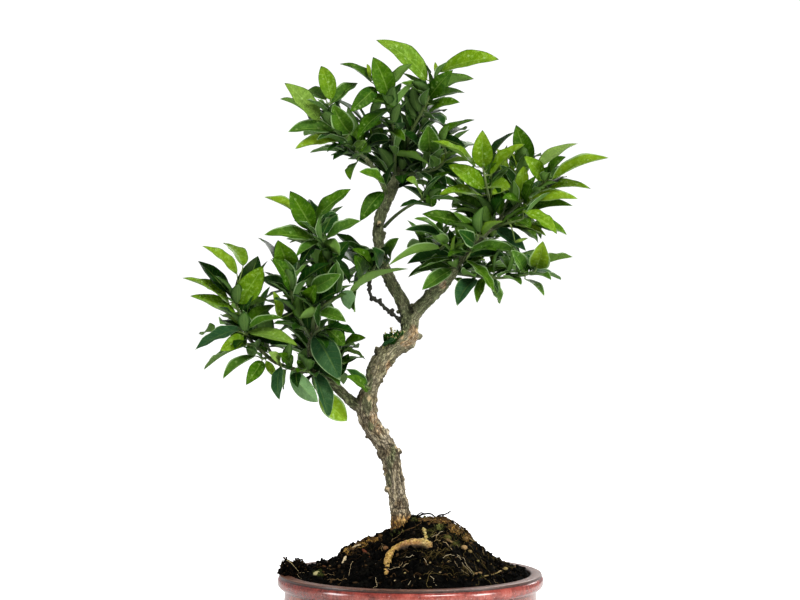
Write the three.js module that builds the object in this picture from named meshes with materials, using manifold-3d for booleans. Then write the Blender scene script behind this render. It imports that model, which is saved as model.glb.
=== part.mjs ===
// Myrtle-leaf orange bonsai in a round glazed pot.
// Millimetres, +Z up. The tree is laid out as it is seen from the front: a place is written as a picture
// point across and down (800 by 600 points) and a depth behind the pot's axis, and seen() turns it into
// millimetres. The finished group is centred on its own box, with its feet at z = 0.

import * as THREE from 'three';
import { mergeVertices } from 'three/addons/utils/BufferGeometryUtils.js';
import Module from 'manifold-3d';

const wasm = await Module();
wasm.setup();

// The eye that the picture points belong to
const POINT_SIZE = 0.72;
const EYE_DISTANCE = 1480;
const EYE_HEIGHT = 268;
const PICTURE_CENTRE = [400, 300];
const POT_AXIS_POINT = 410.5;

// Fits and thicknesses
const SEAT_GAP = 0.3;
const BLADE_THICKNESS = 0.7;

// Pot
const RIM_HEIGHT = 72;
const POT_SECTORS = 28;
const POT_FLOOR = 10;
const DRAIN_RADIUS = 9;
const FOOT = { inner: 61, outer: 71, height: 5.6, gaps: 3, gapLength: 40, gapWidth: 30, gapHeight: 4.9, gapTurn: 30 };
const NET = { radius: 17, thickness: 1.2, sides: 20, pitch: 10, hole: 7, holeHeight: 40 };
// Radius and height, from the drain hole outwards and up to the lip, then from the lip down and inwards
const POT_OUTSIDE = [
  [DRAIN_RADIUS, 5], [72, 5], [79, 9], [86, 18], [90, 30], [91.6, 44], [90.2, 60.4],
  [94.2, 62.2], [95.8, 65.6], [95.1, 69], [93.7, 70.1], [94.3, 70.8], [94.1, RIM_HEIGHT],
];
const POT_INSIDE = [
  [86.3, RIM_HEIGHT], [86, 66], [84.6, 52], [82, 36], [77, 22], [68, POT_FLOOR + 1.5],
  [60, POT_FLOOR], [DRAIN_RADIUS, POT_FLOOR],
];

// Soil: height of the mound's ridge across the pot, from the left to the right
const SOIL_RADIUS = 85.6;
const SOIL_EDGE = 70;
const RIDGE_DEPTH = 2;
const SLOPE_POWER = 1.25;
const CLOD_HEIGHT = 1.6;
const NET_TOP = POT_FLOOR + 2 * SEAT_GAP + NET.thickness;
// Radius and height of the rings against the net and the pot, then the mound's rings as shares of its radius
const SOIL_UNDER = [
  [NET.radius + SEAT_GAP, NET_TOP], [NET.radius + 1, POT_FLOOR + SEAT_GAP], [59.5, POT_FLOOR + SEAT_GAP],
  [67.5, POT_FLOOR + 2.1], [76.4, 22.4], [81.5, 36], [84.1, 52], [SOIL_RADIUS, 66],
];
const SOIL_OVER = [1, 0.88, 0.75, 0.62, 0.48, 0.34, 0.18];
const RIDGE = [
  [-85, 73], [-77, 75], [-65, 76.5], [-54, 79], [-50, 85], [-46, 89], [-36, 92.5], [-20.5, 99],
  [-14, 102.5], [-7, 106], [0.5, 112], [14, 111], [26, 111], [32, 106.5], [39, 101.5], [44, 97],
  [47, 92], [51.5, 87.5], [58, 82], [66, 78], [85, 72],
];

// Leaves
const LEAF_LENGTH = 29;
const WIDTH_SHARE = 0.41;
const LONGEST_LEAF = 47;
const SLIGHT_LEAF = 4;
const ARCH = 0.11;
const STALK_LENGTH = 3.2;
const STALK_HALF = 0.55;
const BLADE_ROWS = [0.27, 0.68];
const GOLDEN_TURN = 137.5;
const CLEAR_OF_LEAF = 2.3;
const CLEAR_OF_TWIG = 1.7;
const CLEAR_OF_WOOD = 1.5;
const SAMPLE_STEP = 2;
const REACH_TRIES = [0, 5, -5, 10, -10, 16, -16, 23, -23, 30, -30];
const ROLL_TRIES = [0, 22, -22, 45, -45];
const LIFT_TRIES = [0.25, 0.6, -0.1];
const SWING_TRIES = [0, 30, -30, 60, -60, 95, -95];
const TWIG_BASE = 1.35;
const TWIG_TIP = 0.7;

// Wood: each limb is a row of [across, down, depth, thickness in points]
const LIMBS = {
  trunk: {
    sides: 10,
    steps: 1,
    bark: 0.07,
    rows: [
      [402, 584, 0, 15], [402, 562, 0, 25], [402, 543, 0, 25], [401.5, 529, 0, 21.5], [400, 511, 0, 18.5],
      [396.5, 489, 2, 17.3], [393.5, 470, 4, 17.3], [391, 456, 5, 18.5], [383.5, 442, 3, 18.5],
      [375, 431, 0, 19.3], [369, 420, -3, 19.5], [366.3, 409, -5, 20], [367, 399, -7, 18],
      [370, 388, -8, 16], [373.5, 379, -9, 16.5], [378, 367.5, -9, 19], [385, 356.5, -8, 20],
      [393, 349, -6, 18.5], [402, 343, -4, 18.8], [408.5, 336, -1, 18.5], [410, 327, 1, 17.5],
      [409.5, 317, 3, 17],
    ],
  },
  leader: {
    sides: 8,
    steps: 1,
    bark: 0.05,
    rows: [
      [409, 322, 3, 14], [404, 306, 4, 13], [396.5, 292, 5, 12.3], [389, 278, 6, 12], [383, 262, 5, 11],
      [379, 245, 4, 11], [378.5, 228, 4, 11], [382, 212, 5, 11], [387, 200, 6, 12], [391.5, 189, 8, 12.5],
      [396, 178, 10, 9], [402, 163, 12, 6],
    ],
  },
  rightBranch: {
    sides: 8,
    steps: 1,
    bark: 0.05,
    rows: [
      [409, 322, 2, 14], [418, 309, 0, 13.5], [429, 298, -4, 12.5], [440, 287, -8, 12.3],
      [450, 277, -12, 10], [457, 269, -14, 7.5],
    ],
  },
  rightRiser: {
    sides: 6,
    steps: 1,
    bark: 0,
    rows: [
      [452, 275, -12, 8], [463, 258, -12, 6.2], [475, 245, -10, 5.6], [485, 235, -8, 5.2],
      [492, 228, -6, 4.8], [499, 221, -5, 4.4], [504, 214, -5, 3.6],
    ],
  },
  leftBranch: {
    sides: 8,
    steps: 1,
    bark: 0.04,
    rows: [
      [367, 411, -5, 13], [355, 404, -8, 11.5], [345, 396, -11, 10], [335, 386, -15, 9.5],
      [325, 378, -20, 8.8], [316, 366, -24, 8], [311, 352, -26, 7], [312, 338, -26, 6.5],
      [317, 327, -25, 5.8], [318, 320, -24, 4.6],
    ],
  },
  leftArm: {
    sides: 6,
    steps: 1,
    bark: 0,
    rows: [
      [317, 368, -23, 6.5], [305, 371, -25, 5.2], [290, 368, -27, 4.6], [275, 362, -29, 4.4],
      [266, 355, -30, 4.2], [257, 347, -31, 3.8], [249, 338, -32, 3.4],
    ],
  },
  westBranch: {
    sides: 6,
    steps: 1,
    bark: 0,
    rows: [[388, 195, 6, 7], [380, 179, 2, 5.8], [372, 166, -1, 5.2], [365, 158, -3, 4.8]],
  },
  knobbyTwig: {
    sides: 5,
    steps: 1,
    bark: 0.16,
    rows: [
      [402, 322, 2, 5], [393.5, 314.6, -1, 4], [386, 308.6, -4, 3.6], [379.6, 302.6, -7, 3.5],
      [374, 299, -10, 4], [370.6, 295.5, -12, 3.6], [369.2, 289, -14, 3.8], [370, 278, -16, 3.8],
    ],
  },
  cutStub: {
    sides: 8,
    steps: 1,
    bark: 0,
    rows: [[380, 223, 3, 6.5], [378.5, 222, -7, 5.6]],
  },
  lowStub: {
    sides: 6,
    steps: 1,
    bark: 0,
    rows: [[388, 279, 5, 7], [384, 282.5, 3, 4.5]],
  },
};

// Knots and callus bumps on the wood: across, down, depth of the centre, size in points
const KNOTS = [
  [386, 432, -1, 5.5], [398.5, 452, 1, 8], [401, 479, 1, 6.5], [388, 489, 0, 7], [381, 456, 1, 6.5],
  [378.5, 381.5, -9, 6], [379, 352, -9, 10], [417, 336.5, -1, 7], [359, 402, -8, 7], [409.5, 343.5, -6, 12],
  [373, 417, -7.5, 10], [386, 207, 3, 9], [382.5, 237.5, 4, 6], [427, 292.5, -5, 5.5], [437.5, 296, -6, 5.5],
];

const SMALL_KNOT = 10;

// Buried roots: turn round the trunk in degrees, length, drop, thickness where they leave it
const BURIED_ROOTS = [
  [15, 52, 34, 7], [88, 46, 38, 6], [160, 50, 30, 6.5], [222, 42, 36, 6], [316, 48, 34, 6],
];
// The thick root that lies bare on the front slope: a short stub that comes out of the soil, and the long
// run from its heel. Rows are picture points, lift above the soil and thickness in mm.
const BARE_STUB = [[422.5, 530, -0.8, 3.4], [425.5, 538, 0.6, 3.2], [428, 548, 0.4, 5.6]];
const BARE_RUN = [
  [430, 547.5, 0.6, 6.2], [422, 546, 1.5, 7.4], [412, 546.5, 1.6, 7], [402, 548.5, 1.4, 6.4],
  [394, 552.5, 1.2, 5.7], [389, 558.5, 1, 5], [387, 566, 0.4, 4.2], [386.5, 576, -1.6, 2.4],
];

// Sprays read from the front. path: the green twig, rooted in the wood. leaves: each is the picture point
// of its base and of its tip, its width in points, and its tone: b bright, m middle, d dark, p pale
// underside, n new and small. A last number 1 or -1 turns the tip away from or towards the eye.
const SPRAYS = {
  apex: {
    path: [[402, 163, 12], [406, 148, 10], [412, 130, 7], [426, 104, 2], [436, 74, -2]],
    leaves: [
      [427, 80, 376, 40, 20, 'b', -1], [440, 72, 499, 59.5, 15, 'b', -1], [429, 98, 453, 70, 16, 'm', -1],
      [436, 88, 474, 79, 12, 'p', 1], [430, 99, 465, 93, 9, 'm', 1], [428, 113, 460, 102.5, 8, 'm', -1],
      [421, 106, 393, 92, 10, 'd', 1], [427, 97, 410, 68, 6, 'p', 1], [426, 98, 401, 83, 6, 'm', -1],
      [418, 118, 388, 109, 6, 'd', 1], [429, 113, 444, 112, 6, 'd', 1], [425, 116, 444, 125, 4, 'd', -1],
      [430, 121, 445, 128, 4, 'd', 1], [436, 73, 435, 62, 4, 'n'], [438, 72, 442, 65, 3.5, 'n'],
    ],
  },
  crown: {
    path: [[396, 178, 10], [395, 164, 4], [395, 149, -2], [392, 124, -10], [388, 99, -14]],
    leaves: [
      [389, 97, 373, 57, 22, 'm', -1], [400, 108, 359, 100, 10, 'm', -1], [376, 88, 350, 112, 16, 'm', -1],
      [371, 82, 339, 64, 6, 'm', 1], [390, 108, 357, 140, 12, 'm', -1], [372, 120, 362, 142, 10, 'd', 1],
      [392, 84, 412, 64, 10, 'p', -1], [390, 140, 362, 149, 12, 'd', 1], [398, 126, 372, 131, 5, 'd', 1],
      [398, 130, 426, 158, 5, 'd', 1], [388, 131, 405, 141, 8, 'm', -1], [395, 155, 430, 165, 6, 'p', 1],
      [393, 180, 381, 156, 10, 'm', -1], [402, 152, 421, 174, 15, 'd', 1], [388, 123, 400, 130, 4, 'd', -1],
      [370, 78, 367, 64, 4, 'n'],
    ],
  },
  west: {
    path: [[365, 158, -3], [353, 150, -6], [342, 139, -9], [334, 125, -12], [328, 106, -15]],
    leaves: [
      [319, 120, 284.5, 83, 18, 'b', -1], [350, 133, 333, 104, 22, 'm', -1], [331, 100, 321, 66, 17, 'b', 1],
      [335, 132, 288, 132, 13, 'm', -1], [342, 141, 295, 149, 11, 'b', -1], [331, 104, 358, 83, 12, 'm', 1],
      [326, 100, 303, 93, 10, 'm', 1], [342, 133, 323, 120, 13, 'm', -1], [350, 148, 345, 129, 9, 'p', -1],
      [352, 152, 366, 141, 9, 'p', 1], [336, 118, 327, 102, 9, 'm', 1], [357, 162, 350.5, 180, 9, 'm', -1],
      [353, 153, 333, 160, 4, 'd', -1], [342, 141, 324, 137, 6, 'd', 1], [356, 158, 371, 153, 4, 'm', -1],
      [313, 118, 280, 99, 4, 'p', 1],
    ],
  },
  notch: {
    path: [[388, 195, 6], [385, 190, -1], [382, 188, -6]],
    leaves: [[383, 192, 360, 221, 16, 'm', -1], [385, 184, 359, 172, 10, 'm', -1]],
  },
  shoulder: {
    path: [
      [318, 321, -24], [322, 306, -22], [330, 278, -18], [328, 256, -18], [319, 240, -21], [315, 222, -22],
    ],
    leaves: [
      [313, 229, 290, 191, 22, 'm', -1], [315, 218, 351, 189, 13, 'm', -1], [314, 240, 264, 235, 13, 'm', -1],
      [326, 239, 361, 221, 10, 'm', -1], [323, 234, 335, 212, 18, 'd', 1], [303, 216, 264, 197, 9, 'b', 1],
      [323, 243, 340, 254, 13, 'p', -1], [320, 241, 296, 257, 9, 'm', -1], [328, 256, 350, 284, 9, 'd', 1],
      [332, 262, 348, 276, 16, 'd', 1], [312, 229, 296, 216, 9, 'p', 1], [315, 243, 300, 266, 10, 'd', 1],
      [312, 242, 290, 243, 6, 'b', 1], [319, 241, 302, 227, 8, 'm', 1],
    ],
  },
  elbow: {
    path: [
      [312, 340, -26], [303, 326, -30], [295, 310, -34], [291, 290, -36], [288, 268, -36],
    ],
    leaves: [
      [288, 268, 278, 240, 24, 'm', -1], [312, 289, 341, 274, 17, 'm', -1], [291, 290, 272, 258, 15, 'm', -1],
      [297, 285, 330, 263, 8, 'd', 1], [292, 280, 313, 261, 10, 'm', 1], [290, 293, 262, 278, 13, 'd', 1],
      [308, 300, 316, 284, 15, 'm', -1], [280, 318, 273, 291, 9, 'b', -1], [303, 326, 304, 346, 12, 'd', 1],
      [275, 260, 258, 238, 5, 'd', 1], [308, 312, 282, 296, 4, 'p', 1], [296, 316, 283, 304, 12, 'd', 1],
    ],
  },
  fork: {
    path: [[370, 279, -16], [371, 274, -17], [374, 268, -18], [377, 264, -19]],
    leaves: [
      [362, 278, 354, 255, 14, 'm', -1], [372, 268, 352, 249, 9, 'm', -1], [378, 270, 372, 247, 9, 'd', -1],
      [356, 266, 344, 250, 9, 'd', 1], [366, 281, 352, 283, 8, 'd', 1],
    ],
  },
  nub: {
    path: [[384, 264, 5], [388, 262, -3], [390, 259, -7]],
    leaves: [[390, 258, 399, 238, 11, 'm', -1], [388, 258, 389, 247, 6, 'd', -1]],
  },
  lap: {
    path: [[314, 334, -26], [313, 322, -33], [319, 309, -36], [335, 298, -38], [347, 294, -38]],
    leaves: [
      [350, 292, 409, 269, 7, 'p', -1], [340, 293, 351, 307, 15, 'p', -1], [320, 312, 346, 322, 13, 'm', -1],
      [312, 306, 345, 289, 9, 'd', -1], [319, 314, 300, 317, 10, 'p', -1], [356, 290, 355.5, 312, 7, 'm', 1],
    ],
  },
  lapel: {
    path: [[313, 337, -26], [317, 332, -33], [322, 329, -38]],
    leaves: [
      [315, 334, 340, 380, 26, 'd', -1], [321, 328, 356, 335, 6, 'd', -1], [326, 327, 345, 345, 13, 'm', 1],
    ],
  },
  middle: {
    path: [[333, 384, -15], [334, 372, -12], [337, 358, -8], [340, 346, -5]],
    leaves: [
      [344, 345, 366, 338, 9, 'm', -1], [346, 352, 358.5, 348, 4, 'd', 1], [343, 350, 366, 360, 3.5, 'p', -1],
      [344, 364, 364, 358, 5, 'm', 1],
    ],
  },
  knee: {
    path: [[372, 389, -9], [368, 388, -15], [365, 386, -19]],
    leaves: [[368, 390, 345, 376, 11, 'm', -1], [367, 385, 346, 369, 8, 'd', 1]],
  },
  hem: {
    path: [[320, 372, -22], [314, 373, -29], [305, 371, -35], [294, 370, -40]],
    leaves: [
      [291, 371, 318, 402, 18, 'p', -1], [320, 393, 347, 421, 22, 'b', 1], [315, 372, 328.5, 418, 14, 'd', -1],
      [334, 372, 302, 359, 11, 'd', -1], [314, 346, 294, 356, 8, 'm', -1], [331, 374, 337, 381, 6, 'm', 1],
      [305, 368, 297, 360, 7, 'm', 1],
    ],
  },
  hand: {
    path: [[249, 339, -32], [245, 329, -33], [240, 315, -33], [236, 303, -34], [236, 292, -35]],
    leaves: [
      [237, 303, 263, 266, 24, 'b', -1], [237, 274, 202, 246, 11, 'b', -1], [229, 303, 182, 278, 9, 'b', -1],
      [228, 292, 198, 261, 14, 'd', 1], [238, 300, 258, 256, 22, 'd', 1], [237, 318, 190, 296, 12, 'b', -1],
      [243, 266, 222.5, 243, 11, 'b', 1], [250, 298, 264, 272, 12, 'm', 1], [239, 310, 268, 300, 9, 'p', 1],
      [245, 325, 275, 305, 12, 'm', 1], [240, 325, 221.5, 315.5, 8, 'b', 1], [240, 315, 230, 307, 7, 'p', 1],
      [232, 330, 220, 324, 4, 'm', 1],
    ],
  },
  wrist: {
    path: [[251, 341, -32], [247, 336, -39], [243, 333, -44]],
    leaves: [
      [240, 328, 195, 350, 12, 'd', -1], [249, 332, 298, 346, 12, 'b', -1], [250, 337, 292, 345, 14, 'd', 1],
      [243, 336, 220, 351, 14, 'b', -1], [248, 328, 283, 318, 8, 'm', -1], [214, 331, 203, 335, 4, 'm', 1],
    ],
  },
  thumb: {
    path: [[259, 349, -31], [253, 346, -38], [248, 344, -42]],
    leaves: [[247, 345, 204, 370, 5, 'm', -1], [248, 343, 254, 356, 10, 'm', 1]],
  },
  heel: {
    path: [[268, 357, -30], [265, 358, -36], [262, 359, -40]],
    leaves: [
      [255, 356, 223, 379, 9, 'm', -1], [262, 361, 246, 385, 14, 'm', -1], [266, 361, 275, 376, 8, 'b', 1],
    ],
  },
  cuff: {
    path: [[288, 368, -27], [285, 367, -34], [281, 366, -39]],
    leaves: [
      [280, 367, 279.5, 400, 12, 'd', -1], [286, 370, 284, 388.5, 7, 'm', 1], [292, 366, 278, 353, 12, 'm', -1],
      [280, 362, 268, 352, 9, 'b', -1],
    ],
  },
  fanInner: {
    path: [[494, 226, -6], [491, 209, -12], [487, 188, -15], [483, 168, -17]],
    leaves: [
      [483, 167, 482.5, 130, 21, 'b', -1], [484, 188, 448, 165, 17, 'b', -1], [476, 167, 431, 141, 7, 'b', 1],
      [491, 175, 525, 144, 10, 'b', 1], [482, 196, 439, 195, 8, 'b', -1], [491, 217, 452, 197, 11, 'm', 1],
      [490, 187, 511, 188, 11, 'b', -1], [490, 160, 515, 132, 6, 'd', 1], [496, 223, 449, 210, 6, 'p', -1],
      [460, 222, 422, 214, 14, 'm', -1], [495, 215, 503, 199, 9, 'd', -1], [491, 195, 513, 191, 6, 'b', 1],
    ],
  },
  fanOuter: {
    path: [[504, 215, -5], [513, 209, -8], [530, 194, -12], [547, 180, -14]],
    leaves: [
      [552, 180, 609, 158, 11, 'b', -1], [542, 180, 524, 156, 14, 'b', -1], [531, 200, 578, 199, 12, 'b', -1],
      [540, 192, 591, 189, 7, 'b', 1], [537, 168, 578, 143.5, 11, 'b', 1], [530, 210, 573, 206, 10, 'm', -1],
      [524, 203, 536, 176, 10, 'm', -1], [523, 206, 502, 199, 7, 'm', -1], [523, 208, 553, 201, 8, 'b', 1],
      [548, 180, 566, 157, 9, 'm', -1], [548, 188, 567, 177, 6, 'd', 1],
    ],
  },
  fanTop: {
    path: [[500, 220, -5], [504, 208, 5], [514, 190, 11], [526, 166, 13]],
    leaves: [
      [530, 162, 516, 125, 20, 'm', -1], [517, 192, 521, 165, 10, 'd', 1], [516, 190, 500, 165, 8, 'd', 1],
      [528, 165, 541, 156, 6, 'd', 1],
    ],
  },
  inner: {
    path: [[399, 171, 11], [409, 174, 4], [434, 170, -2], [446, 158, -5], [442, 141, -9]],
    leaves: [
      [430, 152, 428, 125, 23, 'm', -1], [443, 138, 465, 146, 12, 'd', -1], [439, 137, 475, 120, 5, 'm', 1],
      [425, 190, 451, 172, 7, 'm', -1], [440, 165, 468, 178, 14, 'd', 1], [452, 153, 475, 144, 8, 'm', 1],
      [436, 170, 460, 156, 12, 'd', 1], [428, 172, 446, 190, 10, 'd', 1], [452, 134, 465, 130, 4, 'd', 1],
    ],
  },
  bridge: {
    path: [[384, 227, 4], [394, 217, -1], [406, 208, -7], [420, 201, -12], [432, 197, -15]],
    leaves: [
      [432, 207, 430, 191, 11, 'm', -1], [428, 206, 402, 186, 5, 'd', 1], [419, 191, 406, 180, 6, 'b', -1],
      [430, 206, 400, 207, 4, 'd', -1],
    ],
  },
  palm: {
    path: [[457, 270, -14], [454, 258, -20], [449, 248, -24], [444, 240, -27], [440, 233, -28]],
    leaves: [
      [440, 248, 388, 266, 9, 'p', -1], [455, 255, 407, 264, 12, 'd', 1], [451, 270, 422, 290, 14, 'm', -1],
      [450, 268, 408, 277.5, 8, 'm', 1], [458, 257, 419, 269, 8, 'm', -1], [450, 240, 405, 230, 7, 'd', -1],
      [423, 250, 407, 220, 8, 'm', 1], [440, 232, 414, 219, 4, 'm', -1], [466, 255, 437, 246, 10, 'd', -1],
      [455, 268, 447, 284, 7, 'd', 1], [440, 250, 427, 236, 8, 'd', 1],
    ],
  },
  saddle: {
    path: [[474, 247, -10], [471, 250, -18], [470, 253, -25]],
    leaves: [
      [469, 250, 517, 252, 9, 'm', -1], [468, 257, 505, 256, 9, 'd', 1], [466, 260, 494, 292, 8, 'm', -1],
      [482, 242, 505, 238, 8, 'd', 1],
    ],
  },
  hinge: {
    path: [[484, 237, -8], [481, 236, -17], [477, 235, -23]],
    leaves: [
      [477, 241, 453, 212, 8, 'm', -1], [488, 232, 462, 214, 9, 'm', 1], [474, 243, 458, 230, 14, 'd', -1],
    ],
  },
  skirt: {
    path: [[493, 228, -6], [502, 225, -15], [513, 222, -21], [524, 219, -26]],
    leaves: [
      [500, 227, 545, 234, 8, 'm', -1], [523, 211, 557, 234, 11, 'b', -1], [497, 229, 526, 251, 13, 'd', -1],
      [507, 219, 538, 240, 12, 'm', 1], [534, 224, 567, 235, 12, 'm', 1], [515, 242, 528, 238, 3, 'n'],
    ],
  },
  tail: {
    path: [[455, 273, -13], [475, 276, -18], [495, 278, -22], [512, 277, -24], [525, 275, -25], [535, 272, -25]],
    leaves: [
      [475, 279, 457, 306, 16, 'd', -1], [536, 268, 543, 241, 21, 'b', -1], [540, 265, 573, 257, 6, 'p', -1],
      [524, 270, 511, 250, 13, 'm', -1], [485, 279, 500, 304, 10, 'm', 1], [483, 278, 477, 303, 10, 'm', -1],
      [532, 273, 561, 280, 4, 'd', 1], [508, 270, 497, 252, 9, 'm', 1], [530, 275, 551, 280, 3.5, 'm', -1],
      [525, 279, 544, 296, 6, 'm', -1], [533, 270, 526, 253, 6, 'd', 1], [505, 278, 521, 285, 4, 'm', -1],
      [475, 278, 468, 287, 6, 'm', -1], [455, 279, 468.5, 291, 4, 'm', 1], [492, 278, 497.5, 295, 4, 'd', 1],
    ],
  },
};

// Sprays of the inside and the back: a twig path and how many leaves the rule sets on it
const BACK_SPRAYS = {
  backApex: { path: [[400, 168, 12], [405, 156, 26], [418, 134, 44], [428, 108, 58]], count: 6 },
  backCrown: { path: [[394, 183, 9], [386, 164, 28], [376, 145, 46], [368, 125, 58]], count: 6 },
  backWest: { path: [[372, 166, -1], [356, 158, 20], [338, 146, 38], [322, 132, 50]], count: 6 },
  backInner: { path: [[390, 192, 8], [404, 182, 30], [422, 172, 50], [440, 160, 66]], count: 6 },
  backFan: { path: [[496, 224, -5], [494, 212, 12], [500, 192, 28], [508, 168, 44]], count: 5 },
  backOuter: { path: [[490, 230, -7], [506, 222, 14], [526, 208, 34], [545, 196, 46]], count: 5 },
  backRiser: { path: [[476, 244, -10], [474, 228, 16], [470, 208, 40], [464, 190, 60]], count: 6 },
  backRight: { path: [[464, 257, -12], [472, 250, 14], [484, 244, 38], [494, 238, 60]], count: 6 },
  backTail: { path: [[451, 276, -12], [466, 270, 12], [486, 266, 34], [506, 262, 50]], count: 5 },
  backPalm: { path: [[441, 286, -8], [438, 270, 18], [436, 256, 42], [438, 240, 62]], count: 6 },
  backFork: { path: [[383, 264, 5], [376, 266, 26], [366, 266, 44], [356, 264, 60]], count: 5 },
  backShoulder: { path: [[312, 340, -26], [316, 310, -2], [318, 280, 16], [316, 250, 30], [312, 230, 40]], count: 6 },
  backElbow: { path: [[311, 352, -26], [302, 330, 4], [294, 306, 26], [288, 284, 44]], count: 6 },
  backHem: { path: [[326, 379, -19], [322, 368, 8], [314, 358, 32], [306, 346, 54]], count: 6 },
  backHand: { path: [[276, 363, -29], [266, 344, -6], [254, 324, 12], [246, 302, 24]], count: 6 },
  backKnee: { path: [[335, 386, -15], [336, 370, 14], [332, 350, 38], [328, 334, 56]], count: 5 },
};

// Where leaves of the back may show, as ellipses in picture points: centre across and down, half sizes
const PADS = [
  [335, 115, 52, 48], [425, 96, 58, 50], [405, 155, 45, 36], [490, 175, 84, 54], [485, 246, 84, 44],
  [312, 230, 46, 38], [315, 278, 62, 32], [366, 266, 26, 22], [240, 310, 54, 52], [318, 356, 40, 56],
];

const COLOURS = {
  glaze: { color: 0x9c2a24, roughness: 0.2, metalness: 0 },
  net: { color: 0x2a2c2a, roughness: 0.6, metalness: 0 },
  soil: { color: 0x1d1610, roughness: 0.95, metalness: 0 },
  bark: { color: 0x75695a, roughness: 0.85, metalness: 0 },
  leafFront: { color: 0x4d7d1f, roughness: 0.4, metalness: 0 },
  leafBack: { color: 0x35601c, roughness: 0.4, metalness: 0 },
};

// A picture point at a depth behind the pot's axis, as a place in millimetres
function seen(across, down, depth) {
  const size = POINT_SIZE * (1 + depth / EYE_DISTANCE);
  const eyeX = (PICTURE_CENTRE[0] - POT_AXIS_POINT) * POINT_SIZE;
  return new THREE.Vector3(
    eyeX + (across - PICTURE_CENTRE[0]) * size,
    depth,
    EYE_HEIGHT - (down - PICTURE_CENTRE[1]) * size,
  );
}

// The picture point of a place
function pointOf(place) {
  const size = POINT_SIZE * (1 + place.y / EYE_DISTANCE);
  const eyeX = (PICTURE_CENTRE[0] - POT_AXIS_POINT) * POINT_SIZE;
  return [
    PICTURE_CENTRE[0] + (place.x - eyeX) / size,
    PICTURE_CENTRE[1] + (EYE_HEIGHT - place.z) / size,
  ];
}

// A repeatable number from 0 to 1 for the k-th draw of a seed
function draw(seed, k) {
  const wave = Math.sin(seed * 127.1 + k * 311.7) * 43758.5453;
  return wave - Math.floor(wave);
}

// Straight-line reading of a table of [x, value] rows
function lookUp(table, x) {
  if (x <= table[0][0]) return table[0][1];
  for (let i = 1; i < table.length; i += 1) {
    const [x0, v0] = table[i - 1];
    const [x1, v1] = table[i];
    if (x <= x1) return v0 + ((v1 - v0) * (x - x0)) / (x1 - x0);
  }
  return table[table.length - 1][1];
}

// Height of the mound: its ridge line, falling to the pot's edge in front and behind
function soilHeight(x, y) {
  const halfChord = Math.sqrt(Math.max(SOIL_RADIUS ** 2 - x ** 2, 1));
  const run = y < RIDGE_DEPTH ? halfChord + RIDGE_DEPTH : Math.max(halfChord - RIDGE_DEPTH, 1);
  const share = Math.min(Math.abs(y - RIDGE_DEPTH) / run, 1);
  return SOIL_EDGE + (lookUp(RIDGE, x) - SOIL_EDGE) * (1 - share ** SLOPE_POWER);
}

// Where the sight line of a picture point meets the mound, coming from the front, raised by lift
function onSoil(across, down, lift) {
  let place = seen(across, down, -SOIL_RADIUS);
  for (let depth = -SOIL_RADIUS; depth < SOIL_RADIUS; depth += 0.5) {
    place = seen(across, down, depth);
    if (place.z <= soilHeight(place.x, place.y)) break;
  }
  place.z += lift;
  return place;
}

// A closed surface becomes a solid once its shared corners are merged
function solidOf(geometry) {
  const bare = geometry.clone();
  bare.deleteAttribute('normal');
  bare.deleteAttribute('uv');
  const merged = mergeVertices(bare, 1e-4);
  const mesh = new wasm.Mesh({
    numProp: 3,
    vertProperties: new Float32Array(merged.attributes.position.array),
    triVerts: new Uint32Array(merged.index.array),
  });
  return new wasm.Manifold(mesh);
}

// A solid straight from its corners and triangles
function solidFrom(places, triangles) {
  const mesh = new wasm.Mesh({
    numProp: 3,
    vertProperties: new Float32Array(places.flatMap((p) => [p.x, p.y, p.z])),
    triVerts: new Uint32Array(triangles.flat()),
  });
  return new wasm.Manifold(mesh);
}

// A solid as a named mesh with its colour
function meshOf(name, solid, look) {
  const { vertProperties, triVerts } = solid.getMesh();
  const geometry = new THREE.BufferGeometry();
  geometry.setAttribute('position', new THREE.BufferAttribute(vertProperties, 3));
  geometry.setIndex(new THREE.BufferAttribute(triVerts, 1));
  geometry.computeVertexNormals();
  const mesh = new THREE.Mesh(geometry, new THREE.MeshStandardMaterial(COLOURS[look]));
  mesh.name = name;
  return mesh;
}

// The largest body of a solid: loose scraps are dropped
function largestBody(solid) {
  const bodies = solid.decompose();
  bodies.sort((a, b) => b.volume() - a.volume());
  return bodies[0];
}

// A smooth curve through rows of numbers, with extra rows between them
function smoothRows(rows, steps) {
  const result = [];
  for (let i = 0; i < rows.length - 1; i += 1) {
    const before = rows[Math.max(i - 1, 0)];
    const after = rows[Math.min(i + 2, rows.length - 1)];
    for (let k = 0; k < steps; k += 1) {
      const t = k / steps;
      result.push(rows[i].map((value, j) => {
        const slopeIn = (rows[i + 1][j] - before[j]) / 2;
        const slopeOut = (after[j] - value) / 2;
        const run = rows[i + 1][j] - value;
        return value + t * slopeIn + t * t * (3 * run - 2 * slopeIn - slopeOut)
          + t * t * t * (slopeIn + slopeOut - 2 * run);
      }));
    }
  }
  result.push(rows[rows.length - 1]);
  return result;
}

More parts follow.
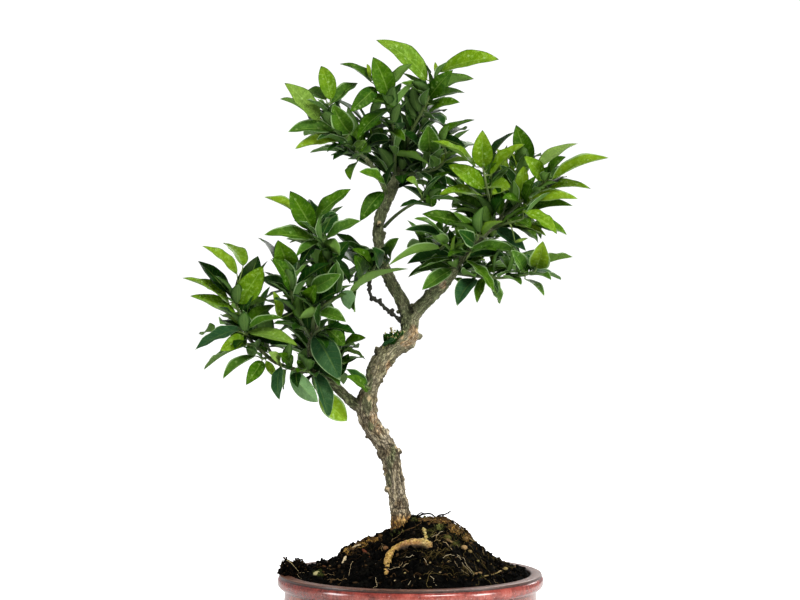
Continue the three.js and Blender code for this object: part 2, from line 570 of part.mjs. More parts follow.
// A closed tube with flat ends through places, each with its own radius; bark makes it fluted
function tube(places, radii, sides, bark) {
  const rings = [];
  let across = new THREE.Vector3(0, 1, 0);
  places.forEach((place, i) => {
    const ahead = places[Math.min(i + 1, places.length - 1)].clone();
    const along = ahead.sub(places[Math.max(i - 1, 0)]).normalize();
    across = across.clone().addScaledVector(along, -across.dot(along));
    if (across.length() < 0.05) across.set(1, 0, 0).addScaledVector(along, -along.x);
    across.normalize();
    const side = new THREE.Vector3().crossVectors(along, across);
    for (let k = 0; k < sides; k += 1) {
      const turn = (2 * Math.PI * k) / sides;
      const flute = bark * (Math.sin(3 * turn + 0.5 * i) + 0.7 * Math.sin(5 * turn - 0.8 * i));
      const radius = radii[i] * (1 + flute);
      rings.push(place.clone()
        .addScaledVector(across, radius * Math.cos(turn))
        .addScaledVector(side, radius * Math.sin(turn)));
    }
  });
  const triangles = [];
  const last = (places.length - 1) * sides;
  for (let i = 0; i < places.length - 1; i += 1) {
    for (let k = 0; k < sides; k += 1) {
      const a = i * sides + k;
      const b = i * sides + ((k + 1) % sides);
      triangles.push([a, b, b + sides], [a, b + sides, a + sides]);
    }
  }
  for (let k = 1; k < sides - 1; k += 1) {
    triangles.push([0, k + 1, k], [last, last + k, last + k + 1]);
  }
  return solidFrom(rings, triangles);
}

// A profile of [radius, height] turned round the pot's axis
function turned(profile) {
  const outline = profile.map(([radius, height]) => new THREE.Vector2(radius, height));
  outline.push(outline[0].clone());
  const geometry = new THREE.LatheGeometry(outline, POT_SECTORS);
  geometry.rotateX(Math.PI / 2);
  return solidOf(geometry);
}

// Pot: a turned shell with a rolled band under its flat lip, on arcs of foot ring
function makePot() {
  const shell = turned([...POT_OUTSIDE, ...POT_INSIDE]);
  let foot = turned([[FOOT.inner, 0], [FOOT.outer, 0], [FOOT.outer + 1, FOOT.height], [FOOT.inner, FOOT.height]]);
  for (let k = 0; k < FOOT.gaps; k += 1) {
    const gap = new THREE.BoxGeometry(FOOT.gapLength, FOOT.gapWidth, 2 * FOOT.gapHeight);
    gap.translate((FOOT.inner + FOOT.outer) / 2, 0, 0);
    gap.rotateZ(THREE.MathUtils.degToRad(FOOT.gapTurn + (360 / FOOT.gaps) * k));
    foot = foot.subtract(solidOf(gap));
  }
  return shell.add(foot);
}

// Drainage net: a thin disc over the drain hole, with a grid of square holes
function makeNet() {
  const disc = new THREE.CylinderGeometry(NET.radius, NET.radius, NET.thickness, NET.sides);
  disc.rotateX(Math.PI / 2);
  disc.translate(0, 0, POT_FLOOR + SEAT_GAP + NET.thickness / 2);
  let net = solidOf(disc);
  for (let column = -1; column <= 1; column += 2) {
    for (let row = -1; row <= 1; row += 2) {
      const hole = new THREE.BoxGeometry(NET.hole, NET.hole, NET.holeHeight);
      hole.translate((column * NET.pitch) / 2, (row * NET.pitch) / 2, 0);
      net = net.subtract(solidOf(hole));
    }
  }
  return net;
}

// Soil: rings from the middle of its underside, up the pot's wall and in over the mound
function makeSoil(wood) {
  const places = [];
  const ring = (radius, height) => {
    for (let k = 0; k < POT_SECTORS; k += 1) {
      const turn = (2 * Math.PI * k) / POT_SECTORS;
      const x = radius * Math.cos(turn);
      const y = radius * Math.sin(turn);
      const clod = CLOD_HEIGHT * (draw(radius, k) - 0.5);
      places.push(new THREE.Vector3(x, y, height ?? soilHeight(x, y) + clod));
    }
  };
  SOIL_UNDER.forEach(([radius, height]) => ring(radius, height));
  SOIL_OVER.forEach((share) => ring(share * SOIL_RADIUS));
  const ringCount = SOIL_UNDER.length + SOIL_OVER.length;
  const bottom = places.push(new THREE.Vector3(0, 0, NET_TOP)) - 1;
  const top = places.push(new THREE.Vector3(0, 0, soilHeight(0, 0))) - 1;
  const triangles = [];
  const lastRing = (ringCount - 1) * POT_SECTORS;
  for (let k = 0; k < POT_SECTORS; k += 1) {
    const next = (k + 1) % POT_SECTORS;
    for (let i = 0; i < ringCount - 1; i += 1) {
      const [a, b] = [i * POT_SECTORS + k, i * POT_SECTORS + next];
      triangles.push([a, b, b + POT_SECTORS], [a, b + POT_SECTORS, a + POT_SECTORS]);
    }
    triangles.push([bottom, next, k], [top, lastRing + k, lastRing + next]);
  }
  return largestBody(solidFrom(places, triangles).subtract(wood));
}

// Roots that go on down into the soil, and the bare one that lies on its front slope
function rootPaths() {
  const base = seen(402, 540, 0);
  const paths = BURIED_ROOTS.map(([turnDegrees, length, drop, thickness]) => {
    const turn = THREE.MathUtils.degToRad(turnDegrees);
    const shares = [0, 0.45, 1];
    const places = shares.map((share) => new THREE.Vector3(
      base.x + share * length * Math.cos(turn),
      base.y + share * length * Math.sin(turn),
      base.z - 9 * share - (drop - 9) * share ** 2,
    ));
    return { places, radii: shares.map((share) => (thickness / 2) * (1 - 0.7 * share)), sides: 4 };
  });
  [BARE_STUB, BARE_RUN].forEach((rows) => paths.push({
    places: rows.map(([across, down, lift]) => onSoil(across, down, lift)),
    radii: rows.map((row) => row[3] / 2),
    sides: 7,
  }));
  const stub = paths[paths.length - 2];
  stub.places.unshift(base);
  stub.radii.unshift(stub.radii[0]);
  return paths;
}

// The limbs as places and radii in millimetres
function limbPaths() {
  return Object.values(LIMBS).map(({ rows, sides, steps, bark }) => {
    const smooth = smoothRows(rows, steps);
    return {
      places: smooth.map(([across, down, depth]) => seen(across, down, depth)),
      radii: smooth.map((row) => (row[3] * POINT_SIZE) / 2),
      sides,
      bark,
    };
  });
}

// Places with both ends moved outwards along their own runs
function lengthened(places, more) {
  const moved = places.map((place) => place.clone());
  const last = places.length - 1;
  moved[0].addScaledVector(places[0].clone().sub(places[1]).normalize(), more);
  moved[last].addScaledVector(places[last].clone().sub(places[last - 1]).normalize(), more);
  return moved;
}

// Wood: trunk, branches, stubs, knots and roots, grown as one; swell makes the room that others leave
function makeWood(swell) {
  const pieces = [...limbPaths(), ...rootPaths()].map(({ places, radii, sides, bark }) => (
    tube(lengthened(places, swell), radii.map((radius) => radius + swell), sides, bark ?? 0)
  ));
  KNOTS.forEach(([across, down, depth, size], k) => {
    const radius = (size * POINT_SIZE) / 2 + swell;
    const small = size < SMALL_KNOT;
    const knot = small ? new THREE.IcosahedronGeometry(radius, 0) : new THREE.OctahedronGeometry(radius, 1);
    knot.scale(1, 1, 0.8 + 0.5 * draw(3, k));
    const place = seen(across, down, depth);
    knot.translate(place.x, place.y, place.z);
    pieces.push(solidOf(knot));
  });
  return largestBody(wasm.Manifold.union(pieces));
}

// A spray's twig as even places along its path
function twigOf(path) {
  const places = path.map(([across, down, depth]) => seen(across, down, depth));
  const lengths = [0];
  for (let i = 1; i < places.length; i += 1) lengths.push(lengths[i - 1] + places[i].distanceTo(places[i - 1]));
  return { places, lengths, length: lengths[lengths.length - 1] };
}

// The place at a distance along a twig
function twigPlace(twig, distance) {
  let i = 1;
  while (i < twig.lengths.length - 1 && twig.lengths[i] < distance) i += 1;
  const share = (distance - twig.lengths[i - 1]) / (twig.lengths[i] - twig.lengths[i - 1]);
  return twig.places[i - 1].clone().lerp(twig.places[i], share);
}

// A twig tapers from its root to its tip
function twigRadius(twig, distance) {
  return TWIG_BASE + ((TWIG_TIP - TWIG_BASE) * distance) / twig.length;
}

// The place on a twig that shows nearest to a picture point
function twigNearest(twig, across, down) {
  let best = null;
  for (let distance = 0; distance <= twig.length; distance += 0.5) {
    const place = twigPlace(twig, distance);
    const point = pointOf(place);
    const away = Math.hypot(point[0] - across, point[1] - down);
    if (best === null || away < best.away) best = { away, place };
  }
  return best.place;
}

// A leaf as read from the front. reach is how far the tip lies behind the base, roll turns the blade.
// Its upper face looks up and towards the eye, or away from it where the pale underside shows.
function readLeaf(row, twig, seed, reachChange, rollChange) {
  const [baseAcross, baseDown, tipAcross, tipDown, widthPoints, tone, away] = row;
  const root = twigNearest(twig, baseAcross, baseDown);
  const base = seen(baseAcross, baseDown, root.y);
  const flatTip = seen(tipAcross, tipDown, root.y);
  const flatLength = base.distanceTo(flatTip);
  const usual = tone === 'n' ? flatLength : LEAF_LENGTH * (0.86 + 0.24 * draw(seed, 1));
  const length = Math.max(flatLength * 1.02, usual);
  const reach = (away ?? 1) * Math.sqrt(length ** 2 - flatLength ** 2) + reachChange;
  const tip = seen(tipAcross, tipDown, root.y + reach);
  const realLength = base.distanceTo(tip);
  const shownWidth = widthPoints * POINT_SIZE;
  const width = tone === 'n' ? shownWidth : Math.max(shownWidth, WIDTH_SHARE * realLength);
  const along = tip.clone().sub(base).normalize();
  const sight = base.clone().sub(seen(...PICTURE_CENTRE, -EYE_DISTANCE)).normalize();
  const level = new THREE.Vector3().crossVectors(along, sight).normalize();
  const steep = new THREE.Vector3().crossVectors(along, level);
  const roll = Math.acos(Math.min(1, shownWidth / width)) + THREE.MathUtils.degToRad(rollChange);
  let chosen = null;
  [roll, -roll].forEach((turn) => {
    const across = level.clone().multiplyScalar(Math.cos(turn)).addScaledVector(steep, Math.sin(turn));
    const face = new THREE.Vector3().crossVectors(along, across);
    const towardsEye = -face.dot(sight) * (tone === 'p' ? -1 : 1);
    if (towardsEye < 0) face.negate();
    if (chosen === null || face.z > chosen.face.z) chosen = { across, face };
  });
  return { root, base, tip, width, length: realLength, slight: widthPoints <= SLIGHT_LEAF, ...chosen };
}

// A leaf of the inside or the back: round its twig by the golden turn, tilted outwards and up
function ruledLeaf(twig, index, count, seed, swing, lift) {
  const distance = twig.length * (0.25 + (0.75 * (index + 0.5)) / count);
  const root = twigPlace(twig, distance);
  const along = twigPlace(twig, Math.min(distance + 1, twig.length)).sub(twigPlace(twig, distance - 1)).normalize();
  const level = new THREE.Vector3().crossVectors(along, new THREE.Vector3(0, 0, 1)).normalize();
  const steep = new THREE.Vector3().crossVectors(level, along);
  const turn = THREE.MathUtils.degToRad(GOLDEN_TURN * index + 360 * draw(seed, 2) + swing);
  const lean = THREE.MathUtils.degToRad(42 + 24 * draw(seed, index + 10));
  const outwards = level.clone().multiplyScalar(Math.cos(turn)).addScaledVector(steep, Math.sin(turn));
  const heading = along.clone().multiplyScalar(Math.cos(lean)).addScaledVector(outwards, Math.sin(lean));
  heading.z += lift;
  heading.normalize();
  const length = LEAF_LENGTH * (0.92 + 0.3 * draw(seed, index + 30));
  const base = root.clone().addScaledVector(heading, STALK_LENGTH);
  const tip = base.clone().addScaledVector(heading, length);
  const up = new THREE.Vector3(0.5 * (draw(seed, index + 50) - 0.5), 0.5 * (draw(seed, index + 70) - 0.5), 1);
  const face = up.addScaledVector(heading, -up.dot(heading)).normalize();
  const across = new THREE.Vector3().crossVectors(face, heading);
  return { root, base, tip, width: WIDTH_SHARE * length, length, slight: false, across, face };
}

// Half the width of a blade at a share of its length: widest before its middle, running to a point
function bladeHalf(leaf, share) {
  return (leaf.width / 2) * 2.9 * share ** 0.72 * (1 - share) ** 0.78 + 0.3;
}

// A place on a blade: share along it from 0 to 1, side from -1 to 1; the blade arches over its length
function bladePlace(leaf, share, side) {
  const arch = ARCH * leaf.length * 4 * share * (1 - share);
  return leaf.base.clone().lerp(leaf.tip, share)
    .addScaledVector(leaf.across, side * bladeHalf(leaf, share))
    .addScaledVector(leaf.face, arch);
}

// Even places on the stalk and the blade
function leafSamples(leaf) {
  const samples = [];
  const stalk = leaf.root.distanceTo(leaf.base);
  for (let run = 2 * STALK_HALF + 1; run < stalk; run += SAMPLE_STEP) {
    samples.push(leaf.root.clone().lerp(leaf.base, run / stalk));
  }
  const rows = Math.ceil(leaf.length / SAMPLE_STEP);
  for (let i = 1; i <= rows; i += 1) {
    const columns = Math.ceil((2 * bladeHalf(leaf, i / rows)) / SAMPLE_STEP);
    for (let k = 0; k <= columns; k += 1) samples.push(bladePlace(leaf, i / rows, -1 + (2 * k) / columns));
  }
  return samples;
}

// The blade as a closed slab: an upright stalk edge sunk in the twig, rows of two places, and the tip
function bladeSolid(leaf) {
  const upper = [leaf.root];
  BLADE_ROWS.forEach((share) => upper.push(bladePlace(leaf, share, -1), bladePlace(leaf, share, 1)));
  const shift = leaf.face.clone().multiplyScalar(BLADE_THICKNESS / 2);
  const places = [
    ...upper.map((place) => place.clone().add(shift)),
    ...upper.map((place) => place.clone().sub(shift)),
    leaf.tip,
  ];
  const count = upper.length;
  const tip = 2 * count;
  const top = [[0, 2, 1], [count - 2, count - 1, tip]];
  const walls = [[0, 1], [2, 0]];
  for (let left = 1; left < count - 2; left += 2) {
    top.push([left, left + 1, left + 3], [left, left + 3, left + 2]);
    walls.push([left, left + 2], [left + 3, left + 1]);
  }
  const under = top.map(([a, b, c]) => [b, a, c].map((i) => (i === tip ? tip : i + count)));
  const rim = walls.flatMap(([a, b]) => [[a, b, b + count], [a, b + count, a + count]]);
  rim.push([count - 2, tip, 2 * count - 2], [count - 1, 2 * count - 1, tip]);
  const turnOver = new THREE.Vector3().crossVectors(leaf.across, leaf.tip.clone().sub(leaf.base)).dot(leaf.face) < 0;
  const triangles = [...top, ...under, ...rim].map(([a, b, c]) => (turnOver ? [b, a, c] : [a, b, c]));
  return solidFrom(places, triangles);
}

// How near a set of places comes to what is already placed, less each neighbour's own radius
function nearest(samples, others, limit) {
  let closest = limit;
  others.forEach(({ centre, reach, places, radius }) => {
    samples.forEach((sample) => {
      if (sample.distanceTo(centre) > reach + closest) return;
      places.forEach((place) => {
        closest = Math.min(closest, sample.distanceTo(place) - radius);
      });
    });
  });
  return closest;
}

// Places that belong together, with the ball that holds them
function cluster(node, places, radius) {
  const centre = places.reduce((sum, place) => sum.add(place), new THREE.Vector3()).divideScalar(places.length);
  const reach = Math.max(...places.map((place) => place.distanceTo(centre)));
  return { node, places, radius, centre, reach: reach + radius };
}

// Wood and twigs as rows of balls, for the leaves to keep clear of
function ballRows(places, radii, node) {
  const rows = [];
  for (let i = 1; i < places.length; i += 1) {
    const steps = Math.max(1, Math.ceil(places[i].distanceTo(places[i - 1]) / SAMPLE_STEP));
    const run = [];
    for (let k = 0; k <= steps; k += 1) run.push(places[i - 1].clone().lerp(places[i], k / steps));
    rows.push(cluster(node, run, Math.max(radii[i - 1], radii[i])));
  }
  return rows;
}

// Whether a place shows within one of the leafy ellipses
function inPad(place) {
  const [across, down] = pointOf(place);
  return PADS.some(([x, y, halfX, halfY]) => ((across - x) / halfX) ** 2 + ((down - y) / halfY) ** 2 < 1);
}

// Every leaf finds a place by the same rule: the read place first, then small turns of it, until it is
// clear of the wood and of every other spray. A leaf that finds none is left out.
function placeLeaves() {
  const twigs = {};
  const wood = limbPaths().flatMap(({ places, radii }) => ballRows(places, radii, 'wood'));
  const stems = [];
  Object.entries({ ...SPRAYS, ...BACK_SPRAYS }).forEach(([name, { path }]) => {
    twigs[name] = twigOf(path);
    const { places, lengths } = twigs[name];
    stems.push(...ballRows(places, lengths.map((distance) => twigRadius(twigs[name], distance)), name));
  });
  const leaves = [];
  const settle = (name, tries) => {
    const otherStems = stems.filter(({ node }) => node !== name);
    const strangers = leaves.filter(({ node }) => node !== name);
    const family = leaves.filter(({ node }) => node === name);
    let spare = null;
    for (const leaf of tries) {
      const samples = leafSamples(leaf);
      const free = samples.slice(Math.floor(samples.length * 0.2));
      if (leaf.length > LONGEST_LEAF) continue;
      if (nearest(free, wood, CLEAR_OF_WOOD) < CLEAR_OF_WOOD) continue;
      if (nearest(samples, otherStems, CLEAR_OF_TWIG) < CLEAR_OF_TWIG) continue;
      if (nearest(samples, strangers, CLEAR_OF_LEAF) < CLEAR_OF_LEAF) continue;
      const entry = { ...cluster(name, samples, 0), leaf };
      spare = spare ?? entry;
      if (nearest(free, family, 1) < 1) continue;
      leaves.push(entry);
      return;
    }
    if (spare !== null) leaves.push(spare);
  };
  const read = Object.entries(SPRAYS).flatMap(([name, { leaves: rows }], s) => rows.map((row, k) => ({
    name, row, seed: 20 * s + k, size: Math.hypot(row[2] - row[0], row[3] - row[1]) * row[4],
  })));
  read.sort((a, b) => b.size - a.size || a.seed - b.seed);
  read.forEach(({ name, row, seed }) => {
    const tries = function* tries() {
      for (const roll of ROLL_TRIES) {
        for (const reach of REACH_TRIES) yield readLeaf(row, twigs[name], seed, reach, roll);
      }
    };
    settle(name, tries());
  });
  Object.entries(BACK_SPRAYS).forEach(([name, { count }], s) => {
    for (let index = 0; index < count; index += 1) {
      const tries = function* tries() {
        for (const lift of LIFT_TRIES) {
          for (const swing of SWING_TRIES) {
            const leaf = ruledLeaf(twigs[name], index, count, 1000 + s, swing, lift);
            if (inPad(leaf.tip) && inPad(bladePlace(leaf, 0.5, 0))) yield leaf;
          }
        }
      };
      settle(name, tries());
    }
  });
  return { leaves, twigs };
}

// Sprays: each twig with its leaves fused to it, seated on the wood
function makeSprays(woodRoom) {
  const { leaves, twigs } = placeLeaves();
  return Object.entries(twigs).map(([name, twig]) => {
    const radii = twig.lengths.map((distance) => twigRadius(twig, distance));
    const parts = [tube(twig.places, radii, 3, 0)];
    const own = leaves.filter(({ node, leaf }) => node === name && !leaf.slight);
    own.forEach(({ leaf }) => parts.push(bladeSolid(leaf)));
    const spray = largestBody(wasm.Manifold.union(parts).subtract(woodRoom));
    return meshOf(`spray_${name}`, spray, name.startsWith('back') ? 'leafBack' : 'leafFront');
  });
}

const woodRoom = makeWood(SEAT_GAP);
const bonsai = new THREE.Group();
bonsai.name = 'bonsai';
bonsai.add(meshOf('pot', makePot(), 'glaze'));
bonsai.add(meshOf('drainage_net', makeNet(), 'net'));
bonsai.add(meshOf('soil', makeSoil(woodRoom), 'soil'));
bonsai.add(meshOf('wood', makeWood(0), 'bark'));
makeSprays(woodRoom).forEach((spray) => bonsai.add(spray));

// The box of the whole tree is centred over the origin, with the feet on z = 0
const box = new THREE.Box3().setFromObject(bonsai, true);
bonsai.position.set(-(box.min.x + box.max.x) / 2, -(box.min.y + box.max.y) / 2, -box.min.z);
bonsai.updateMatrixWorld(true);

export default bonsai;
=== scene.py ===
# %% [markdown]
# # A myrtle-leaf orange bonsai, dressed in Blender
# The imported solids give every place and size: a glazed pot, a mound of soil, the grown wood and the leafy
# sprays. Each cell below takes one of these things and gives it the surface that a close look would find.

# %% Load the frame
import math

import bpy
import numpy as np
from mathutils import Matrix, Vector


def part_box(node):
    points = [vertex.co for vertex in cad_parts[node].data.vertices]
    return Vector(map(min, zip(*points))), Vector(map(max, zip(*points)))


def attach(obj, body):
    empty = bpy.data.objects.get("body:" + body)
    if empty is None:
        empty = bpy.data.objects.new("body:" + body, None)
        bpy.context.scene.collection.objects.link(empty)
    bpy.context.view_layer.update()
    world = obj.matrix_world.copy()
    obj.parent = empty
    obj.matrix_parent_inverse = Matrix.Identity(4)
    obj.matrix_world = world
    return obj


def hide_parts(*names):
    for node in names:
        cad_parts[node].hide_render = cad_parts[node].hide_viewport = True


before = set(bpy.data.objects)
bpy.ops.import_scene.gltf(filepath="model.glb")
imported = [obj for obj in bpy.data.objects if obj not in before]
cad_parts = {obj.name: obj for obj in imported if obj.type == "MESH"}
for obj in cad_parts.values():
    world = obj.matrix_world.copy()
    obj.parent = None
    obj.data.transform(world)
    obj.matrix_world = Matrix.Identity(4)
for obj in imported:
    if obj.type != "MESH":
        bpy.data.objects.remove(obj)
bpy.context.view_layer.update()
print("nodes in the frame:", len(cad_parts))

# %% [markdown]
# ## One eye for every place
# The tree was read from one direction. A place is a picture point (800 by 600, across and down) with a
# depth in mm behind the pot's axis. One eye for the solids, for this script and for its camera makes a leaf
# land where it was seen; places typed in space would hide where each number came from.

# %% Picture points to millimetres
MM = 0.001
POINT_SIZE = 0.72
EYE_DISTANCE = 1480.0
EYE_HEIGHT = 268.0
PICTURE_CENTRE = (400.0, 300.0)
POT_AXIS_POINT = 410.5
EYE_X = (PICTURE_CENTRE[0] - POT_AXIS_POINT) * POINT_SIZE

pot_low, pot_high = (np.array(corner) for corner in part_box("pot"))
POT_AXIS = np.array([(pot_low[0] + pot_high[0]) / 2, (pot_low[1] + pot_high[1]) / 2, 0.0])


def seen(across, down, depth):
    """Place of a picture point: size per point grows with distance from the eye."""
    across, down, depth = np.broadcast_arrays(across, down, np.asarray(depth, float))
    size = POINT_SIZE * (1 + depth / EYE_DISTANCE)
    x = EYE_X + (across - PICTURE_CENTRE[0]) * size
    return np.stack([x, depth, EYE_HEIGHT - (down - PICTURE_CENTRE[1]) * size], -1)


def point_of(places):
    """Picture point of places: the same rule turned round."""
    size = POINT_SIZE * (1 + places[..., 1] / EYE_DISTANCE)
    across = PICTURE_CENTRE[0] + (places[..., 0] - EYE_X) / size
    return np.stack([across, PICTURE_CENTRE[1] + (EYE_HEIGHT - places[..., 2]) / size], -1)


print("pot axis in the frame, mm:", (POT_AXIS / MM).round(2))

# %% [markdown]
# ## Surfaces as arrays
# A shape is an array of places, an array of faces and a few numbers per place, such as how bright a leaf is.
# Tubes, blades, grains and the pot are stacked as such arrays and go into a mesh in one step. A loop over
# corners would run slower.

# %% Shapes, tubes and pieces
NEARLY_NONE = 0.05


class Shape:
    """Places (n, 3) in mm, faces (m, 4) with -1 as the fourth corner of a triangle, numbers per place."""

    def __init__(self, places, faces, look=0, **values):
        self.places = np.asarray(places, float).reshape(-1, 3)
        self.faces = np.asarray(faces, int).reshape(-1, 4)
        self.look = np.broadcast_to(look, len(self.faces))
        count = len(self.places)
        self.values = {key: np.broadcast_to(np.asarray(v, float), count) for key, v in values.items()}


def stacked(shapes):
    """Shapes as one: each one's faces are shifted by the places that come before it."""
    starts = np.cumsum([0] + [len(s.places) for s in shapes[:-1]])
    faces = [np.where(s.faces < 0, -1, s.faces + start) for s, start in zip(shapes, starts)]
    values = {key: np.concatenate([s.values.get(key, np.zeros(len(s.places))) for s in shapes])
              for key in sorted({key for s in shapes for key in s.values})}
    look = np.concatenate([s.look for s in shapes])
    return Shape(np.concatenate([s.places for s in shapes]), np.concatenate(faces), look, **values)


def grid_faces(rows, columns, closed=False):
    """Quads between neighbours of a grid numbered row by row; closed joins the last column to the first."""
    row, column = np.mgrid[0:rows - 1, 0:columns if closed else columns - 1]
    beside = (column + 1) % columns
    here = row * columns
    quads = np.stack([here + column, here + beside, here + columns + beside, here + columns + column], -1)
    return quads.reshape(-1, 4)


def fan(centre, ring):
    """Triangles from one place to a closed ring of places."""
    ring = np.asarray(ring)
    return np.stack([np.full(len(ring), centre), ring, np.roll(ring, -1), np.full(len(ring), -1)], -1)


def outward(shape):
    """The same closed shape with its faces outwards: they are turned over where its volume is below zero."""
    a, b, c, d = (shape.places[shape.faces[:, k]] for k in range(4))
    volume = np.einsum("nk,nk->n", a, np.cross(b, c)).sum()
    volume += np.einsum("nk,nk->n", a, np.cross(c, d))[shape.faces[:, 3] >= 0].sum()
    if volume < 0:
        three = shape.faces[:, 3:] < 0
        shape.faces = np.where(three, shape.faces[:, [0, 2, 1, 3]], shape.faces[:, ::-1])
    return shape


def unit(vectors):
    """Vectors divided by their own lengths."""
    return vectors / np.maximum(np.linalg.norm(vectors, axis=-1, keepdims=True), 1e-12)


def smooth_rows(rows, steps):
    """Catmull-Rom curve through rows of numbers: a row's slope is half the way between its neighbours."""
    rows = np.asarray(rows, float)
    slope = np.gradient(rows, axis=0)
    slope[0], slope[-1] = (rows[1] - rows[0]) / 2, (rows[-1] - rows[-2]) / 2
    where = np.append(np.arange(0, len(rows) - 1, 1 / steps), len(rows) - 1)
    low = np.minimum(where.astype(int), len(rows) - 2)
    t = (where - low)[:, None]
    run = rows[low + 1] - rows[low]
    curve = t * slope[low] + t**2 * (3 * run - 2 * slope[low] - slope[low + 1])
    return rows[low] + curve + t**3 * (slope[low] + slope[low + 1] - 2 * run)


def way_along(places):
    """How far each place of a path lies from its start."""
    return np.append(0, np.cumsum(np.linalg.norm(np.diff(places, axis=0), axis=1)))


def frames_along(places):
    """Two crosswise vectors at each place of a path, turned as little as can be."""
    along = unit(np.gradient(places, axis=0))
    first = np.array([0.0, 1.0, 0.0])
    side = []
    for direction in along:
        first = first - direction * first.dot(direction)
        if np.linalg.norm(first) < NEARLY_NONE:
            first = np.array([1.0, 0.0, 0.0]) - direction * direction[0]
        first = first / np.linalg.norm(first)
        side.append(first)
    side = np.array(side)
    return side, np.cross(along, side)


def tube(places, radii, sides, flute=lambda turn, i: 1, **values):
    """Round tube: centre + radius * (side * cos a + other * sin a), and a place at the middle of each end."""
    places = np.asarray(places, float)
    radii = np.broadcast_to(np.asarray(radii, float), len(places))
    side, other = (vectors[:, None] for vectors in frames_along(places))
    turn = np.linspace(0, 2 * np.pi, sides, endpoint=False)
    radius = radii[:, None] * flute(turn, np.arange(len(places))[:, None])
    radius = np.broadcast_to(radius, (len(places), sides))[..., None]
    rings = places[:, None] + radius * (side * np.cos(turn)[:, None] + other * np.sin(turn)[:, None])
    count = len(places) * sides
    faces = [grid_faces(len(places), sides, closed=True)]
    faces += [fan(count, np.arange(sides)[::-1]), fan(count + 1, count - sides + np.arange(sides))]
    spread = {key: np.append(np.repeat(np.broadcast_to(v, len(places)), sides), [0, 0])
              for key, v in values.items()}
    whole = np.concatenate([rings.reshape(-1, 3), places[[0, -1]]])
    return outward(Shape(whole, np.concatenate(faces), **spread))


def piece(name, shape, materials, node=None, sharp=None, mapped=False):
    """A Shape as a Blender object that rides on the body, takes its materials and may replace a solid."""
    mesh = bpy.data.meshes.new(name)
    corners = shape.faces[shape.faces >= 0]
    sizes = np.where(shape.faces[:, 3] < 0, 3, 4)
    mesh.vertices.add(len(shape.places))
    mesh.vertices.foreach_set("co", (shape.places * MM + POT_AXIS).astype(np.float32).ravel())
    mesh.loops.add(len(corners))
    mesh.loops.foreach_set("vertex_index", corners.astype(np.int32))
    mesh.polygons.add(len(sizes))
    mesh.polygons.foreach_set("loop_start", (np.cumsum(sizes) - sizes).astype(np.int32))
    mesh.polygons.foreach_set("material_index", shape.look.astype(np.int32))
    mesh.polygons.foreach_set("use_smooth", np.ones(len(sizes), bool))
    for key, numbers in shape.values.items():
        mesh.attributes.new(key, "FLOAT", "POINT").data.foreach_set("value", numbers.astype(np.float32))
    if mapped:
        layer = mesh.uv_layers.new(name="blade")
        pairs = np.stack([shape.values["across"][corners], shape.values["along"][corners]], -1)
        layer.uv.foreach_set("vector", pairs.astype(np.float32).ravel())
    mesh.update(calc_edges=True)
    mesh.validate()
    if sharp is not None:
        mesh.set_sharp_from_angle(angle=math.radians(sharp))
    for material in materials:
        mesh.materials.append(material)
    thing = bpy.data.objects.new(name, mesh)
    bpy.context.scene.collection.objects.link(thing)
    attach(thing, "root")
    if node is not None:
        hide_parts(node)
    return thing


# %% [markdown]
# ## Grown things are never even
# Bark, soil and glaze all need numbers that wander smoothly. A lattice of fixed pseudo-random numbers,
# blended between its corners, gives that from a place alone, so the same place always reads the same and
# nothing depends on the order in which things are made.

# %% Draws and wandering numbers
def draw(seed, k):
    """A repeatable number from 0 to 1: the fraction left of a large sine."""
    wave = math.sin(seed * 127.1 + k * 311.7) * 43758.5453
    return wave - math.floor(wave)


def noise(places, seed=0):
    """Lattice noise from -1 to 1: eight corner numbers mixed by the eased distance to each."""
    cell = np.floor(places).astype(np.int64)
    part = places - cell
    ease = part**3 * (part * (part * 6 - 15) + 10)
    total = np.zeros(places.shape[:-1])
    for corner in np.ndindex(2, 2, 2):
        key = cell + np.array(corner)
        code = key[..., 0] * 374761393 + key[..., 1] * 668265263 + key[..., 2] * 2147483647 + seed * 974711
        code = (code ^ (code >> 13)) * 1274126177 & 0xFFFFFFFF
        code = (code ^ (code >> 16)) & 0xFFFF
        weight = np.prod(np.where(np.array(corner) == 1, ease, 1 - ease), axis=-1)
        total += weight * code
    return total / 32767.5 - 1


def layers(places, count, seed=0):
    """Noise on noise, each layer twice as fine and half as strong."""
    return sum(noise(places * 2**k, seed + k) / 2**k for k in range(count))


def wander(places, size, seed, axes=2):
    """Noise of one size along several axes, each with a seed of its own."""
    return np.stack([noise(places / size, seed + k) for k in range(axes)], -1)


def eased(x, low, high):
    """Smooth step from 0 at low to 1 at high."""
    t = np.clip((np.asarray(x, float) - low) / (high - low), 0, 1)
    return t * t * (3 - 2 * t)


def cover(points, marks, low, high):
    """How strongly elliptic marks cover picture points, eased off between two squared reaches."""
    squares = (((points - [across, down]) / [wide, tall]) ** 2 for across, down, wide, tall in marks)
    return np.max([1 - eased(square.sum(-1), low, high) for square in squares], axis=0)


sample = layers(np.random.default_rng(1).uniform(-50, 50, (5000, 3)), 3)
print("three layers of noise run from", sample.min().round(2), "to", sample.max().round(2))

# %% [markdown]
# ## Shader sums written as sums
# A material is a little machine of nodes. Writing each Math node by hand hides the thought, so one small
# class wraps a node's output and turns +, -, * and ** into Math nodes. Everything else, from ramps to
# noise, comes from a single method that takes the node's type, its settings and its sockets.

# %% The shader kit
def term(operation, swapped=False):
    """An operator that joins two terms by a Math node."""
    def method(self, other):
        return self.math(operation, *((other, self) if swapped else (self, other)))
    return method


